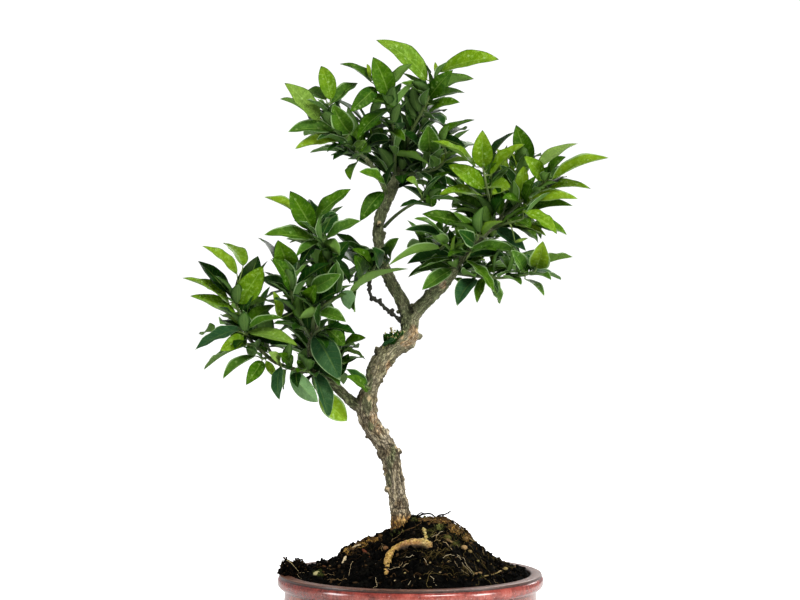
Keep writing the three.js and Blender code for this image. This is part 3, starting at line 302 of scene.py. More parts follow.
class Value:
    """A number on its way through a shader; sums with it add Math nodes."""

    __add__ = __radd__ = term("ADD")
    __sub__, __rsub__ = term("SUBTRACT"), term("SUBTRACT", swapped=True)
    __mul__ = __rmul__ = term("MULTIPLY")
    __pow__ = term("POWER")

    def __init__(self, shader, output):
        self.shader = shader
        self.output = output

    def math(self, operation, *terms, clamp=False):
        settings = {"operation": operation, "use_clamp": clamp}
        return self.shader.node("ShaderNodeMath", settings, dict(enumerate(terms)))

    def __abs__(self):
        return self.math("ABSOLUTE", self)

    def clamped(self):
        return self.math("ADD", self, 0.0, clamp=True)

    def between(self, low, high):
        """0 below low, 1 above high, eased in between; the other way round where high is the lesser."""
        settings = {"interpolation_type": "SMOOTHSTEP"}
        return self.shader.node("ShaderNodeMapRange", settings, {0: self, 1: low, 2: high})

    def hump(self, rise, full, fall, gone):
        """0 outside, eased up to 1 and down again."""
        return self.between(rise, full) * self.between(gone, fall)


class Shader:
    """A material being built from nodes."""

    def __init__(self, name):
        self.material = bpy.data.materials.new(name)
        self.material.use_nodes = True
        self.tree = self.material.node_tree
        self.tree.nodes.clear()

    def node(self, kind, settings=(), sockets=(), output=0):
        """Adds a node: its settings first, then the values or links of its sockets."""
        node = self.tree.nodes.new(kind)
        for key, value in dict(settings).items():
            if key == "stops":
                elements = node.color_ramp.elements
                elements.remove(elements[1])
                for k, (place, *colour) in enumerate(value):
                    stop = elements[0] if k == 0 else elements.new(place)
                    stop.position = place
                    stop.color = rgb(*colour)
            else:
                setattr(node, key, value)
        for key, value in dict(sockets).items():
            if isinstance(value, Value):
                self.tree.links.new(value.output, node.inputs[key])
            else:
                node.inputs[key].default_value = value
        return Value(self, node.outputs[output]) if node.outputs else node

    def other(self, value, output):
        """Another output of the node that a value comes from."""
        return Value(self, value.output.node.outputs[output])

    def attribute(self, name):
        return self.node("ShaderNodeAttribute", {"attribute_name": name}, output="Fac")

    def axes(self, vector):
        """The three numbers of a vector."""
        x = self.node("ShaderNodeSeparateXYZ", {}, {0: vector})
        return x, self.other(x, 1), self.other(x, 2)

    def places(self, scale=(1, 1, 1)):
        """Object coordinates in millimetres, stretched by scale."""
        spot = self.node("ShaderNodeTexCoord", output="Object")
        stretch = tuple(s / MM for s in scale)
        return self.node("ShaderNodeVectorMath", {"operation": "MULTIPLY"}, {0: spot, 1: stretch})

    def noise(self, vector, scale, detail=3.0, roughness=0.55):
        sockets = {"Vector": vector, "Scale": scale, "Detail": detail, "Roughness": roughness}
        return self.node("ShaderNodeTexNoise", {}, sockets)

    def ramp(self, factor, stops):
        return self.node("ShaderNodeValToRGB", {"stops": stops}, {0: factor})

    def mix(self, factor, a, b):
        return self.node("ShaderNodeMix", {"data_type": "RGBA"}, {0: factor, 6: a, 7: b}, 2)

    def bump(self, height, distance, strength=1.0):
        """Bump in millimetres of relief."""
        sockets = {"Height": height, "Distance": distance * MM, "Strength": strength}
        return self.node("ShaderNodeBump", {}, sockets)

    def finish(self, **sockets):
        """The Principled surface with the given sockets, joined to the output."""
        named = {key.replace("_", " "): value for key, value in sockets.items()}
        surface = self.node("ShaderNodeBsdfPrincipled", {}, named)
        self.node("ShaderNodeOutputMaterial", {}, {"Surface": surface})
        return self.material


def rgb(red, green, blue):
    """Screen colour 0 to 255 as the linear colour a shader wants."""
    parts = np.array([red, green, blue]) / 255
    linear = np.where(parts <= 0.04045, parts / 12.92, ((parts + 0.055) / 1.055) ** 2.4)
    return (*linear.tolist(), 1.0)


# %% [markdown]
# ## The tree's plan
# These tables hold what was read from the front: the ridge, the limbs, the knots and the sprays, with every
# leaf that can be told apart. The back can't be seen, so there a rule sets the leaves, round each twig by
# the golden turn, as on the living plant.

# %% Limbs, knots and sprays
def table(text):
    """Rows of a plain table: commas part the rows, spaces part their cells, and letters stay letters."""
    return [tuple(cell if cell.isalpha() else float(cell) for cell in row.split()) for row in text.split(",")]


# The mound's ridge: place across and height, in mm
RIDGE = table("""
    -85 73, -77 75, -65 76.5, -54 79, -50 85, -46 89, -36 92.5, -20.5 99, -14 102.5, -7 106, 0.5 112,
    14 111, 26 111, 32 106.5, 39 101.5, 44 97, 47 92, 51.5 87.5, 58 82, 66 78, 85 72""")
# Limbs: how deep their flutes are, then across, down, depth, width
LIMBS = {
    "trunk": (0.07, table("""
    402 584 0 15, 402 562 0 25, 402 543 0 25, 401.5 529 0 21.5, 400 511 0 18.5, 396.5 489 2 17.3,
    393.5 470 4 17.3, 391 456 5 18.5, 383.5 442 3 18.5, 375 431 0 19.3, 369 420 -3 19.5, 366.3 409 -5 20,
    367 399 -7 18, 370 388 -8 16, 373.5 379 -9 16.5, 378 367.5 -9 19, 385 356.5 -8 20, 393 349 -6 18.5,
    402 343 -4 18.8, 408.5 336 -1 18.5, 410 327 1 17.5, 409.5 317 3 17""")),
    "leader": (0.05, table("""
    409 322 3 14, 404 306 4 13, 396.5 292 5 12.3, 389 278 6 12, 383 262 5 11, 379 245 4 11, 378.5 228 4 11,
    382 212 5 11, 387 200 6 12, 391.5 189 8 12.5, 396 178 10 9, 402 163 12 6""")),
    "rightBranch": (0.05, table("""
    409 322 2 14, 418 309 0 13.5, 429 298 -4 12.5, 440 287 -8 12.3, 450 277 -12 10, 457 269 -14 7.5""")),
    "rightRiser": (0, table("""
    452 275 -12 8, 463 258 -12 6.2, 475 245 -10 5.6, 485 235 -8 5.2, 492 228 -6 4.8, 499 221 -5 4.4,
    504 214 -5 3.6""")),
    "leftBranch": (0.04, table("""
    367 411 -5 13, 355 404 -8 11.5, 345 396 -11 10, 335 386 -15 9.5, 325 378 -20 8.8, 316 366 -24 8,
    311 352 -26 7, 312 338 -26 6.5, 317 327 -25 5.8, 318 320 -24 4.6""")),
    "leftArm": (0, table("""
    317 368 -23 6.5, 305 371 -25 5.2, 290 368 -27 4.6, 275 362 -29 4.4, 266 355 -30 4.2, 257 347 -31 3.8,
    249 338 -32 3.4""")),
    "westBranch": (0, table("388 195 6 7, 380 179 2 5.8, 372 166 -1 5.2, 365 158 -3 4.8")),
    "knobbyTwig": (0.16, table("""
    402 322 2 5, 393.5 314.6 -1 4, 386 308.6 -4 3.6, 379.6 302.6 -7 3.5, 374 299 -10 4, 370.6 295.5 -12 3.6,
    369.2 289 -14 3.8, 370 278 -16 3.8""")),
    "cutStub": (0, table("380 223 3 6.5, 378.5 222 -7 5.6")),
    "lowStub": (0, table("388 279 5 7, 384 282.5 3 4.5")),
}
# Knots: across, down, depth, width
KNOTS = table("""
    386 432 -1 5.5, 398.5 452 1 8, 401 479 1 6.5, 388 489 0 7, 381 456 1 6.5, 378.5 381.5 -9 6,
    379 352 -9 10, 417 336.5 -1 7, 359 402 -8 7, 409.5 343.5 -6 12, 373 417 -7.5 10, 386 207 3 9,
    382.5 237.5 4 6, 427 292.5 -5 5.5, 437.5 296 -6 5.5""")
# Spurs too small for the solid: across, down, depth, width
SPURS = table("""
    392.6 310.2 -2 4, 393 310.9 -2 4.2, 391.6 315 -1 4.8, 380 299.4 -8 3.6, 379.4 300.8 -8 4,
    370.6 299.5 -11 3.2, 371.6 298.6 -11 4, 384.4 308.6 -5 4, 370.2 287.6 -14 4.6, 375.2 297.6 -10 3.8,
    398 312 2 3.6, 388.6 312.4 -3 3.4, 401.5 294.5 5 3.6, 395.6 282.5 5 3.6, 412.5 307 0 6,
    419.3 336.3 -1 4.6, 376.2 349 -9 4.4, 392.5 361 -6 5, 388 365 -8 4.6, 381 381.5 -9 4.4, 366.2 437 2 3.6,
    377.8 454 4 4.4, 384 469 3 3, 384.8 474 3 2.6, 447 284.5 -9 4.4, 432.5 299 -5 4, 380.5 254 4 3.6,
    384.3 233 4 3.6""")
# The bare root, its upright stub and its run down the slope: across, down, lift and thickness in mm
BARE_STUB = table("""
    422.4 529.5 0.6 2.6, 424.2 532.6 1.6 3.4, 425.2 536.8 1.8 2.3, 425.8 541 1.5 3.2, 427 547 0.6 5.4""")
BARE_RUN = table("""
    431.5 549.5 -0.4 4.6, 428.5 547.5 1.1 7, 422 546 1.6 7.4, 412 546.5 1.6 7, 402 548.5 1.4 6.4,
    394 552.5 1.2 5.7, 389 558.5 1 5, 387 566 0.4 4.2, 386.5 576 -1.6 2.4""")
# Sprays: the twig's across, down, depth; then for each leaf its base and tip, its width, its tone (see TONES)
# and -1 where the tip turns towards the eye
SPRAYS = {
    "apex": ("402 163 12, 406 148 10, 412 130 7, 426 104 2, 436 74 -2", """
    427 80 376 40 20 b -1, 440 72 499 59.5 15 b -1, 429 98 453 70 16 m -1, 436 88 474 79 12 p,
    430 99 465 93 9 m, 428 113 460 102.5 8 m -1, 421 106 393 92 10 d, 427 97 410 68 6 p,
    426 98 401 83 6 m -1, 418 118 388 109 6 d, 429 113 444 112 6 d, 425 116 444 125 4 d -1,
    430 121 445 128 4 d, 436 73 435 62 4 n, 438 72 442 65 3.5 n"""),
    "crown": ("396 178 10, 395 164 4, 395 149 -2, 392 124 -10, 388 99 -14", """
    389 97 373 57 22 m -1, 400 108 359 100 10 m -1, 376 88 350 112 16 m -1, 371 82 339 64 6 m,
    390 108 357 140 12 m -1, 372 120 362 142 10 d, 392 84 412 64 10 p -1, 390 140 362 149 12 d,
    398 126 372 131 5 d, 398 130 426 158 5 d, 388 131 405 141 8 m -1, 395 155 430 165 6 p,
    393 180 381 156 10 m -1, 402 152 421 174 15 d, 388 123 400 130 4 d -1, 370 78 367 64 4 n"""),
    "west": ("365 158 -3, 353 150 -6, 342 139 -9, 334 125 -12, 328 106 -15", """
    319 120 284.5 83 18 b -1, 350 133 333 104 22 m -1, 331 100 321 66 17 b, 335 132 288 132 13 m -1,
    342 141 295 149 11 b -1, 331 104 358 83 12 m, 326 100 303 93 10 m, 342 133 323 120 13 m -1,
    350 148 345 129 9 p -1, 352 152 366 141 9 p, 336 118 327 102 9 m, 357 162 350.5 180 9 m -1,
    353 153 333 160 4 d -1, 342 141 324 137 6 d, 356 158 371 153 4 m -1, 313 118 280 99 4 p"""),
    "notch": ("388 195 6, 385 190 -1, 382 188 -6", """
    383 192 360 221 16 m -1, 385 184 359 172 10 m -1"""),
    "shoulder": ("318 321 -24, 322 306 -22, 330 278 -18, 328 256 -18, 319 240 -21, 315 222 -22", """
    313 229 290 191 22 m -1, 315 218 351 189 13 m -1, 314 240 264 235 13 m -1, 326 239 361 221 10 m -1,
    323 234 335 212 18 d, 303 216 264 197 9 b, 323 243 340 254 13 p -1, 320 241 296 257 9 m -1,
    328 256 350 284 9 d, 332 262 348 276 16 d, 312 229 296 216 9 p, 315 243 300 266 10 d,
    312 242 290 243 6 b, 319 241 302 227 8 m"""),
    "elbow": ("312 340 -26, 303 326 -30, 295 310 -34, 291 290 -36, 288 268 -36", """
    288 268 278 240 24 m -1, 312 289 341 274 17 m -1, 291 290 272 258 15 m -1, 297 285 330 263 8 d,
    292 280 313 261 10 m, 290 293 262 278 13 d, 308 300 316 284 15 m -1, 280 318 273 291 9 b -1,
    303 326 304 346 12 d, 275 260 258 238 5 d, 308 312 282 296 4 p, 296 316 283 304 12 d"""),
    "fork": ("370 279 -16, 371 274 -17, 374 268 -18, 377 264 -19", """
    362 278 354 255 14 m -1, 372 268 352 249 9 m -1, 378 270 372 247 9 d -1, 356 266 344 250 9 d,
    366 281 352 283 8 d"""),
    "nub": ("384 264 5, 388 262 -3, 390 259 -7", """
    390 258 399 238 11 m -1, 388 258 389 247 6 d -1"""),
    "lap": ("314 334 -26, 313 322 -33, 319 309 -36, 335 298 -38, 347 294 -38", """
    350 292 409 269 7 p -1, 340 293 351 307 15 p -1, 320 312 346 322 13 m -1, 312 306 345 289 9 d -1,
    319 314 300 317 10 p -1, 356 290 355.5 312 7 m"""),
    "lapel": ("313 337 -26, 317 332 -33, 322 329 -38", """
    315 334 340 380 26 d -1, 321 328 356 335 6 d -1, 326 327 345 345 13 m"""),
    "middle": ("333 384 -15, 334 372 -12, 337 358 -8, 340 346 -5", """
    344 345 366 338 9 m -1, 346 352 358.5 348 4 d, 343 350 366 360 3.5 p -1, 344 364 364 358 5 m"""),
    "knee": ("372 389 -9, 368 388 -15, 365 386 -19", """
    368 390 345 376 11 m -1, 367 385 346 369 8 d"""),
    "hem": ("320 372 -22, 314 373 -29, 305 371 -35, 294 370 -40", """
    291 371 318 402 18 p -1, 320 393 347 421 22 b, 315 372 328.5 418 14 d -1, 334 372 302 359 11 d -1,
    314 346 294 356 8 m -1, 331 374 337 381 6 m, 305 368 297 360 7 m"""),
    "hand": ("249 339 -32, 245 329 -33, 240 315 -33, 236 303 -34, 236 292 -35", """
    237 303 263 266 24 b -1, 237 274 202 246 11 b -1, 229 303 182 278 9 b -1, 228 292 198 261 14 d,
    238 300 258 256 22 d, 237 318 190 296 12 b -1, 243 266 222.5 243 11 b, 250 298 264 272 12 m,
    239 310 268 300 9 p, 245 325 275 305 12 m, 240 325 221.5 315.5 8 b, 240 315 230 307 7 p,
    232 330 220 324 4 m"""),
    "wrist": ("251 341 -32, 247 336 -39, 243 333 -44", """
    240 328 195 350 12 d -1, 249 332 298 346 12 b -1, 250 337 292 345 14 d, 243 336 220 351 14 b -1,
    248 328 283 318 8 m -1, 214 331 203 335 4 m"""),
    "thumb": ("259 349 -31, 253 346 -38, 248 344 -42", """
    247 345 204 370 5 m -1, 248 343 254 356 10 m"""),
    "heel": ("268 357 -30, 265 358 -36, 262 359 -40", """
    255 356 223 379 9 m -1, 262 361 246 385 14 m -1, 266 361 275 376 8 b"""),
    "cuff": ("288 368 -27, 285 367 -34, 281 366 -39", """
    280 367 279.5 400 12 d -1, 286 370 284 388.5 7 m, 292 366 278 353 12 m -1, 280 362 268 352 9 b -1"""),
    "fanInner": ("494 226 -6, 491 209 -12, 487 188 -15, 483 168 -17", """
    483 167 482.5 130 21 b -1, 484 188 448 165 17 b -1, 476 167 431 141 7 b, 491 175 525 144 10 b,
    482 196 439 195 8 b -1, 491 217 452 197 11 m, 490 187 511 188 11 b -1, 490 160 515 132 6 d,
    496 223 449 210 6 p -1, 460 222 422 214 14 m -1, 495 215 503 199 9 d -1, 491 195 513 191 6 b"""),
    "fanOuter": ("504 215 -5, 513 209 -8, 530 194 -12, 547 180 -14", """
    552 180 609 158 11 b -1, 542 180 524 156 14 b -1, 531 200 578 199 12 b -1, 540 192 591 189 7 b,
    537 168 578 143.5 11 b, 530 210 573 206 10 m -1, 524 203 536 176 10 m -1, 523 206 502 199 7 m -1,
    523 208 553 201 8 b, 548 180 566 157 9 m -1, 548 188 567 177 6 d"""),
    "fanTop": ("500 220 -5, 504 208 5, 514 190 11, 526 166 13", """
    530 162 516 125 20 m -1, 517 192 521 165 10 d, 516 190 500 165 8 d, 528 165 541 156 6 d"""),
    "inner": ("399 171 11, 409 174 4, 434 170 -2, 446 158 -5, 442 141 -9", """
    430 152 428 125 23 m -1, 443 138 465 146 12 d -1, 439 137 475 120 5 m, 425 190 451 172 7 m -1,
    440 165 468 178 14 d, 452 153 475 144 8 m, 436 170 460 156 12 d, 428 172 446 190 10 d,
    452 134 465 130 4 d"""),
    "bridge": ("384 227 4, 394 217 -1, 406 208 -7, 420 201 -12, 432 197 -15", """
    432 207 430 191 11 m -1, 428 206 402 186 5 d, 419 191 406 180 6 b -1, 430 206 400 207 4 d -1"""),
    "palm": ("457 270 -14, 454 258 -20, 449 248 -24, 444 240 -27, 440 233 -28", """
    440 248 388 266 9 p -1, 455 255 407 264 12 d, 451 270 422 290 14 m -1, 450 268 408 277.5 8 m,
    458 257 419 269 8 m -1, 450 240 405 230 7 d -1, 423 250 407 220 8 m, 440 232 414 219 4 m -1,
    466 255 437 246 10 d -1, 455 268 447 284 7 d, 440 250 427 236 8 d"""),
    "saddle": ("474 247 -10, 471 250 -18, 470 253 -25", """
    469 250 517 252 9 m -1, 468 257 505 256 9 d, 466 260 494 292 8 m -1, 482 242 505 238 8 d"""),
    "hinge": ("484 237 -8, 481 236 -17, 477 235 -23", """
    477 241 453 212 8 m -1, 488 232 462 214 9 m, 474 243 458 230 14 d -1"""),
    "skirt": ("493 228 -6, 502 225 -15, 513 222 -21, 524 219 -26", """
    500 227 545 234 8 m -1, 523 211 557 234 11 b -1, 497 229 526 251 13 d -1, 507 219 538 240 12 m,
    534 224 567 235 12 m, 515 242 528 238 3 n"""),
    "tail": ("455 273 -13, 475 276 -18, 495 278 -22, 512 277 -24, 525 275 -25, 535 272 -25", """
    475 279 457 306 16 d -1, 536 268 543 241 21 b -1, 540 265 573 257 6 p -1, 524 270 511 250 13 m -1,
    485 279 500 304 10 m, 483 278 477 303 10 m -1, 532 273 561 280 4 d, 508 270 497 252 9 m,
    530 275 551 280 3.5 m -1, 525 279 544 296 6 m -1, 533 270 526 253 6 d, 505 278 521 285 4 m -1,
    475 278 468 287 6 m -1, 455 279 468.5 291 4 m, 492 278 497.5 295 4 d"""),
}
# Sprays of the back: the twig, and how many leaves it carries
BACK_SPRAYS = {
    "backApex": ("400 168 12, 405 156 26, 418 134 44, 428 108 58", 6),
    "backCrown": ("394 183 9, 386 164 28, 376 145 46, 368 125 58", 6),
    "backWest": ("372 166 -1, 356 158 20, 338 146 38, 322 132 50", 6),
    "backInner": ("390 192 8, 404 182 30, 422 172 50, 440 160 66", 6),
    "backFan": ("496 224 -5, 494 212 12, 500 192 28, 508 168 44", 5),
    "backOuter": ("490 230 -7, 506 222 14, 526 208 34, 545 196 46", 5),
    "backRiser": ("476 244 -10, 474 228 16, 470 208 40, 464 190 60", 6),
    "backRight": ("464 257 -12, 472 250 14, 484 244 38, 494 238 60", 6),
    "backTail": ("451 276 -12, 466 270 12, 486 266 34, 506 262 50", 5),
    "backPalm": ("441 286 -8, 438 270 18, 436 256 42, 438 240 62", 6),
    "backFork": ("383 264 5, 376 266 26, 366 266 44, 356 264 60", 5),
    "backShoulder": ("312 340 -26, 316 310 -2, 318 280 16, 316 250 30, 312 230 40", 6),
    "backElbow": ("311 352 -26, 302 330 4, 294 306 26, 288 284 44", 6),
    "backHem": ("326 379 -19, 322 368 8, 314 358 32, 306 346 54", 6),
    "backHand": ("276 363 -29, 266 344 -6, 254 324 12, 246 302 24", 6),
    "backKnee": ("335 386 -15, 336 370 14, 332 350 38, 328 334 56", 5),
}
# Where leaves may show: the middles and half sizes of ellipses
PADS = table("""
    335 115 52 48, 425 96 58 50, 405 155 45 36, 490 175 84 54, 485 246 84 44, 312 230 46 38, 315 278 62 32,
    366 266 26 22, 240 310 54 52, 318 356 40 56""")

# %% [markdown]
# ## Where each leaf may grow
# The solids hold one blade per leaf, and a finer blade must stand exactly where its solid does. So the same
# rule runs again: the largest leaf goes first, tries its read place, then small turns of it, and keeps clear
# of the wood, of other twigs and of other sprays. That is surer than copying hundreds of places.

# %% Twigs and leaf places
LEAF_LENGTH = 29
WIDTH_SHARE = 0.41
LONGEST_LEAF = 47
ARCH = 0.11
STALK_LENGTH = 3.2
STALK_HALF = 0.55
GOLDEN_TURN = 137.5
CLEAR_OF_LEAF, CLEAR_OF_TWIG, CLEAR_OF_WOOD = 2.3, 1.7, 1.5
SAMPLE_STEP = 2
REACH_TRIES = (0, 5, -5, 10, -10, 16, -16, 23, -23, 30, -30)
ROLL_TRIES = (0, 22, -22, 45, -45)
LIFT_TRIES = (0.25, 0.6, -0.1)
SWING_TRIES = (0, 30, -30, 60, -60, 95, -95)
TWIG_BASE, TWIG_TIP = 1.35, 0.7
# Seeds: so many for each read spray, then one for each back spray, then so many for a twig's small leaves
SPRAY_SEEDS, BACK_SEED, FILL_SEED, FILL_SEEDS, BUD_SEED = 20, 1000, 3000, 40, 7000


class Twig:
    """A path of straight runs that can be asked for the place at any distance along it."""

    def __init__(self, path):
        self.places = seen(*np.array(path, float).T)
        self.lengths = way_along(self.places)
        self.length = self.lengths[-1]

    def place(self, distance):
        return np.stack([np.interp(distance, self.lengths, axis) for axis in self.places.T], -1)

    def radius(self, distance):
        return TWIG_BASE + (TWIG_TIP - TWIG_BASE) * distance / self.length

    def nearest(self, across, down):
        """The place that shows nearest to a picture point."""
        run = self.place(np.arange(0, self.length + 1e-9, 0.5))
        return run[np.argmin(np.linalg.norm(point_of(run) - [across, down], axis=1))]


def read_leaf(row, twig, seed, reach_change, roll_change):
    """A leaf from its row: what is hidden of its length gives the tip's depth, of its width the roll."""
    base_across, base_down, tip_across, tip_down, width_points, tone = row[:6]
    away = row[6] if len(row) > 6 else 1
    root = twig.nearest(base_across, base_down)
    base = seen(base_across, base_down, root[1])
    flat_length = np.linalg.norm(seen(tip_across, tip_down, root[1]) - base)
    usual = flat_length if tone == "n" else LEAF_LENGTH * (0.86 + 0.24 * draw(seed, 1))
    length = max(flat_length * 1.02, usual)
    reach = away * math.sqrt(length**2 - flat_length**2) + reach_change
    tip = seen(tip_across, tip_down, root[1] + reach)
    real_length = np.linalg.norm(tip - base)
    shown_width = width_points * POINT_SIZE
    width = shown_width if tone == "n" else max(shown_width, WIDTH_SHARE * real_length)
    along = unit(tip - base)
    sight = unit(base - seen(*PICTURE_CENTRE, -EYE_DISTANCE))
    level = unit(np.cross(along, sight))
    steep = np.cross(along, level)
    roll = math.acos(min(1, shown_width / width)) + math.radians(roll_change)
    choices = []
    for turn in (roll, -roll):
        across = level * math.cos(turn) + steep * math.sin(turn)
        face = np.cross(along, across)
        towards_eye = -face.dot(sight) * (-1 if tone == "p" else 1)
        choices.append((across, -face if towards_eye < 0 else face))
    across, face = choices[1] if choices[1][1][2] > choices[0][1][2] else choices[0]
    return dict(root=root, base=base, tip=tip, width=width, length=real_length, across=across, face=face,
                tone=tone, seed=seed)


def off_twig(twig, distance, turn, lean, lift, upright):
    """A heading that leaves a twig: turned round it, leaning off it and lifted a little."""
    along = unit(twig.place(distance + 1) - twig.place(distance - 1))
    level = unit(np.cross(along, upright))
    outwards = level * math.cos(turn) + np.cross(level, along) * math.sin(turn)
    return unit(along * math.cos(lean) + outwards * math.sin(lean) + [0, 0, lift])


def grown(root, base, heading, length, up, tone, seed, slim=WIDTH_SHARE):
    """A leaf that runs from its base along a heading, with its face turned up as far as that allows."""
    face = unit(up - heading * up.dot(heading))
    return dict(root=root, base=base, tip=base + heading * length, width=slim * length, length=length,
                across=np.cross(face, heading), face=face, tone=tone, seed=seed)


def ruled_leaf(twig, index, count, seed, swing, lift):
    """A leaf of the back: the golden turn round its twig, leaning outwards and up."""
    distance = twig.length * (0.25 + 0.75 * (index + 0.5) / count)
    turn = math.radians(GOLDEN_TURN * index + 360 * draw(seed, 2) + swing)
    lean = math.radians(42 + 24 * draw(seed, index + 10))
    heading = off_twig(twig, distance, turn, lean, lift, [0, 0, 1])
    length = LEAF_LENGTH * (0.92 + 0.3 * draw(seed, index + 30))
    up = np.array([0.5 * (draw(seed, index + 50) - 0.5), 0.5 * (draw(seed, index + 70) - 0.5), 1])
    root = twig.place(distance)
    return grown(root, root + heading * STALK_LENGTH, heading, length, up, "k", seed + index)


def room_half(leaf, share):
    """Half width of the room a blade takes, widest near its middle."""
    return leaf["width"] / 2 * 2.9 * share**0.72 * (1 - share) ** 0.78 + 0.3


def room_place(leaf, share, side):
    """Place on the blade's room: along it by share, across it by side, arched along the face."""
    share = np.asarray(share, float)[..., None]
    side = np.asarray(side, float)[..., None]
    return (leaf["base"] + (leaf["tip"] - leaf["base"]) * share
            + leaf["across"] * side * room_half(leaf, share)
            + leaf["face"] * ARCH * leaf["length"] * 4 * share * (1 - share))


def leaf_samples(leaf):
    """Even places on the stalk and the blade."""
    stalk = np.linalg.norm(leaf["base"] - leaf["root"])
    runs = np.arange(2 * STALK_HALF + 1, stalk, SAMPLE_STEP)[:, None] / stalk
    rows = [leaf["root"] + (leaf["base"] - leaf["root"]) * runs]
    count = math.ceil(leaf["length"] / SAMPLE_STEP)
    for share in np.arange(1, count + 1) / count:
        columns = math.ceil(2 * room_half(leaf, share) / SAMPLE_STEP)
        rows.append(room_place(leaf, share, np.linspace(-1, 1, columns + 1)))
    return np.concatenate(rows)


def cluster(node, places, radius, leaf=None):
    """Places that belong together, with the ball that holds them."""
    centre = places.mean(0)
    reach = np.linalg.norm(places - centre, axis=1).max() + radius
    return dict(node=node, places=places, radius=radius, centre=centre, reach=reach, leaf=leaf)


def ball_rows(places, radii, node):
    """Wood and twigs as rows of balls, one row for each straight run."""
    rows = []
    for a, b, radius in zip(places[:-1], places[1:], np.maximum(radii[:-1], radii[1:])):
        steps = max(1, math.ceil(np.linalg.norm(b - a) / SAMPLE_STEP))
        rows.append(cluster(node, a + (b - a) * np.linspace(0, 1, steps + 1)[:, None], radius))
    return rows


def nearest(samples, others, limit):
    """Least distance from samples to the others' places less their radius, and limit at the most."""
    if not others:
        return limit
    middle = samples.mean(0)
    reach = np.linalg.norm(samples - middle, axis=1).max()
    apart = np.linalg.norm(np.array([o["centre"] for o in others]) - middle, axis=1)
    close = apart <= reach + limit + np.array([o["reach"] for o in others])
    for other in (o for o, near in zip(others, close) if near):
        gap = np.linalg.norm(samples[:, None] - other["places"][None], axis=2).min() - other["radius"]
        limit = min(limit, gap)
    return limit


def in_pad(place, share=1):
    """Whether a place shows within one of the leafy ellipses, drawn smaller by share."""
    across, down = point_of(place)
    return any(((across - x) / w) ** 2 + ((down - y) / h) ** 2 < share**2 for x, y, w, h in PADS)


def settle(leaves, node, tries, wood, stems):
    """Adds the first try that is clear of all, or else the first that only meets its own spray."""
    other_stems = [s for s in stems if s["node"] != node]
    strangers = [o for o in leaves if o["node"] != node]
    family = [o for o in leaves if o["node"] == node]
    spare = None
    for leaf in tries:
        samples = leaf_samples(leaf)
        free = samples[int(len(samples) * 0.2):]
        if leaf["length"] > LONGEST_LEAF or nearest(free, wood, CLEAR_OF_WOOD) < CLEAR_OF_WOOD:
            continue
        if nearest(samples, other_stems, CLEAR_OF_TWIG) < CLEAR_OF_TWIG:
            continue
        if nearest(samples, strangers, CLEAR_OF_LEAF) < CLEAR_OF_LEAF:
            continue
        entry = cluster(node, samples, 0, leaf)
        spare = spare or entry
        if nearest(free, family, 1) >= 1:
            leaves.append(entry)
            return
    if spare is not None:
        leaves.append(spare)


def back_tries(twig, index, count, seed):
    """The turns of a back leaf that keep it within the pads, in the order in which they are tried."""
    for lift in LIFT_TRIES:
        for swing in SWING_TRIES:
            leaf = ruled_leaf(twig, index, count, seed, swing, lift)
            if in_pad(leaf["tip"]) and in_pad(room_place(leaf, 0.5, 0)):
                yield leaf


twigs = {name: Twig(table(path)) for name, (path, _) in (SPRAYS | BACK_SPRAYS).items()}
limb_paths = {name: np.array(rows, float) for name, (_, rows) in LIMBS.items()}
wood_balls = [ball for rows in limb_paths.values()
              for ball in ball_rows(seen(*rows.T[:3]), rows[:, 3] * POINT_SIZE / 2, "wood")]
stem_balls = [ball for name, twig in twigs.items()
              for ball in ball_rows(twig.places, twig.radius(twig.lengths), name)]
read_rows = [(name, row, SPRAY_SEEDS * s + k) for s, (name, (_, leaves)) in enumerate(SPRAYS.items())
             for k, row in enumerate(table(leaves))]
read_rows.sort(key=lambda r: (-math.hypot(r[1][2] - r[1][0], r[1][3] - r[1][1]) * r[1][4], r[2]))
placed = []
for name, row, seed in read_rows:
    tries = (read_leaf(row, twigs[name], seed, reach, roll) for roll in ROLL_TRIES for reach in REACH_TRIES)
    settle(placed, name, tries, wood_balls, stem_balls)
for s, (name, (_, count)) in enumerate(BACK_SPRAYS.items()):
    for index in range(count):
        tries = back_tries(twigs[name], index, count, BACK_SEED + s)
        settle(placed, name, tries, wood_balls, stem_balls)
print("leaves placed:", len(placed))

# %% [markdown]
# ## Small leaves inside
# A healthy pad is nearly closed: between the large leaves one sees smaller, shaded ones, too many for the
# solids. They grow from the same twigs by the same turn, only inside the pads, and keep clear of all else.

# %% Fill the pads
FILL_CLEAR = 0.6
FILL_INSIDE = 0.86
FILL_TRIES = [(lean, swing) for swing in (0, 40, -40) for lean in (50, 74, 28)]
FILL_SPACING = 3.2
# Small leaves to the left of this many mm get darker tones: painted shade, as the light falls from the right
SHADED_SIDE_LIMIT = 20


def fill_leaf(twig, distance, turn, lean, seed):
    """A small leaf from a place on a twig, turned round it and leaning off it."""
    heading = off_twig(twig, distance, turn, math.radians(lean), 0.12, [0.02, 0, 1])
    length = LEAF_LENGTH * (0.5 + 0.42 * draw(seed, 3))
    up = np.array([0.7 * (draw(seed, 5) - 0.5), -0.5 * draw(seed, 6), 0.9])
    root = twig.place(distance)
    base = root + heading * STALK_LENGTH * 0.8
    # Painted shade: small leaves on the left side take the darker tones
    tones = "dkdkkm" if base[0] < SHADED_SIDE_LIMIT else "kkmbmm"
    return grown(root, base, heading, length, up, tones[int(draw(seed, 7) * len(tones))], seed)


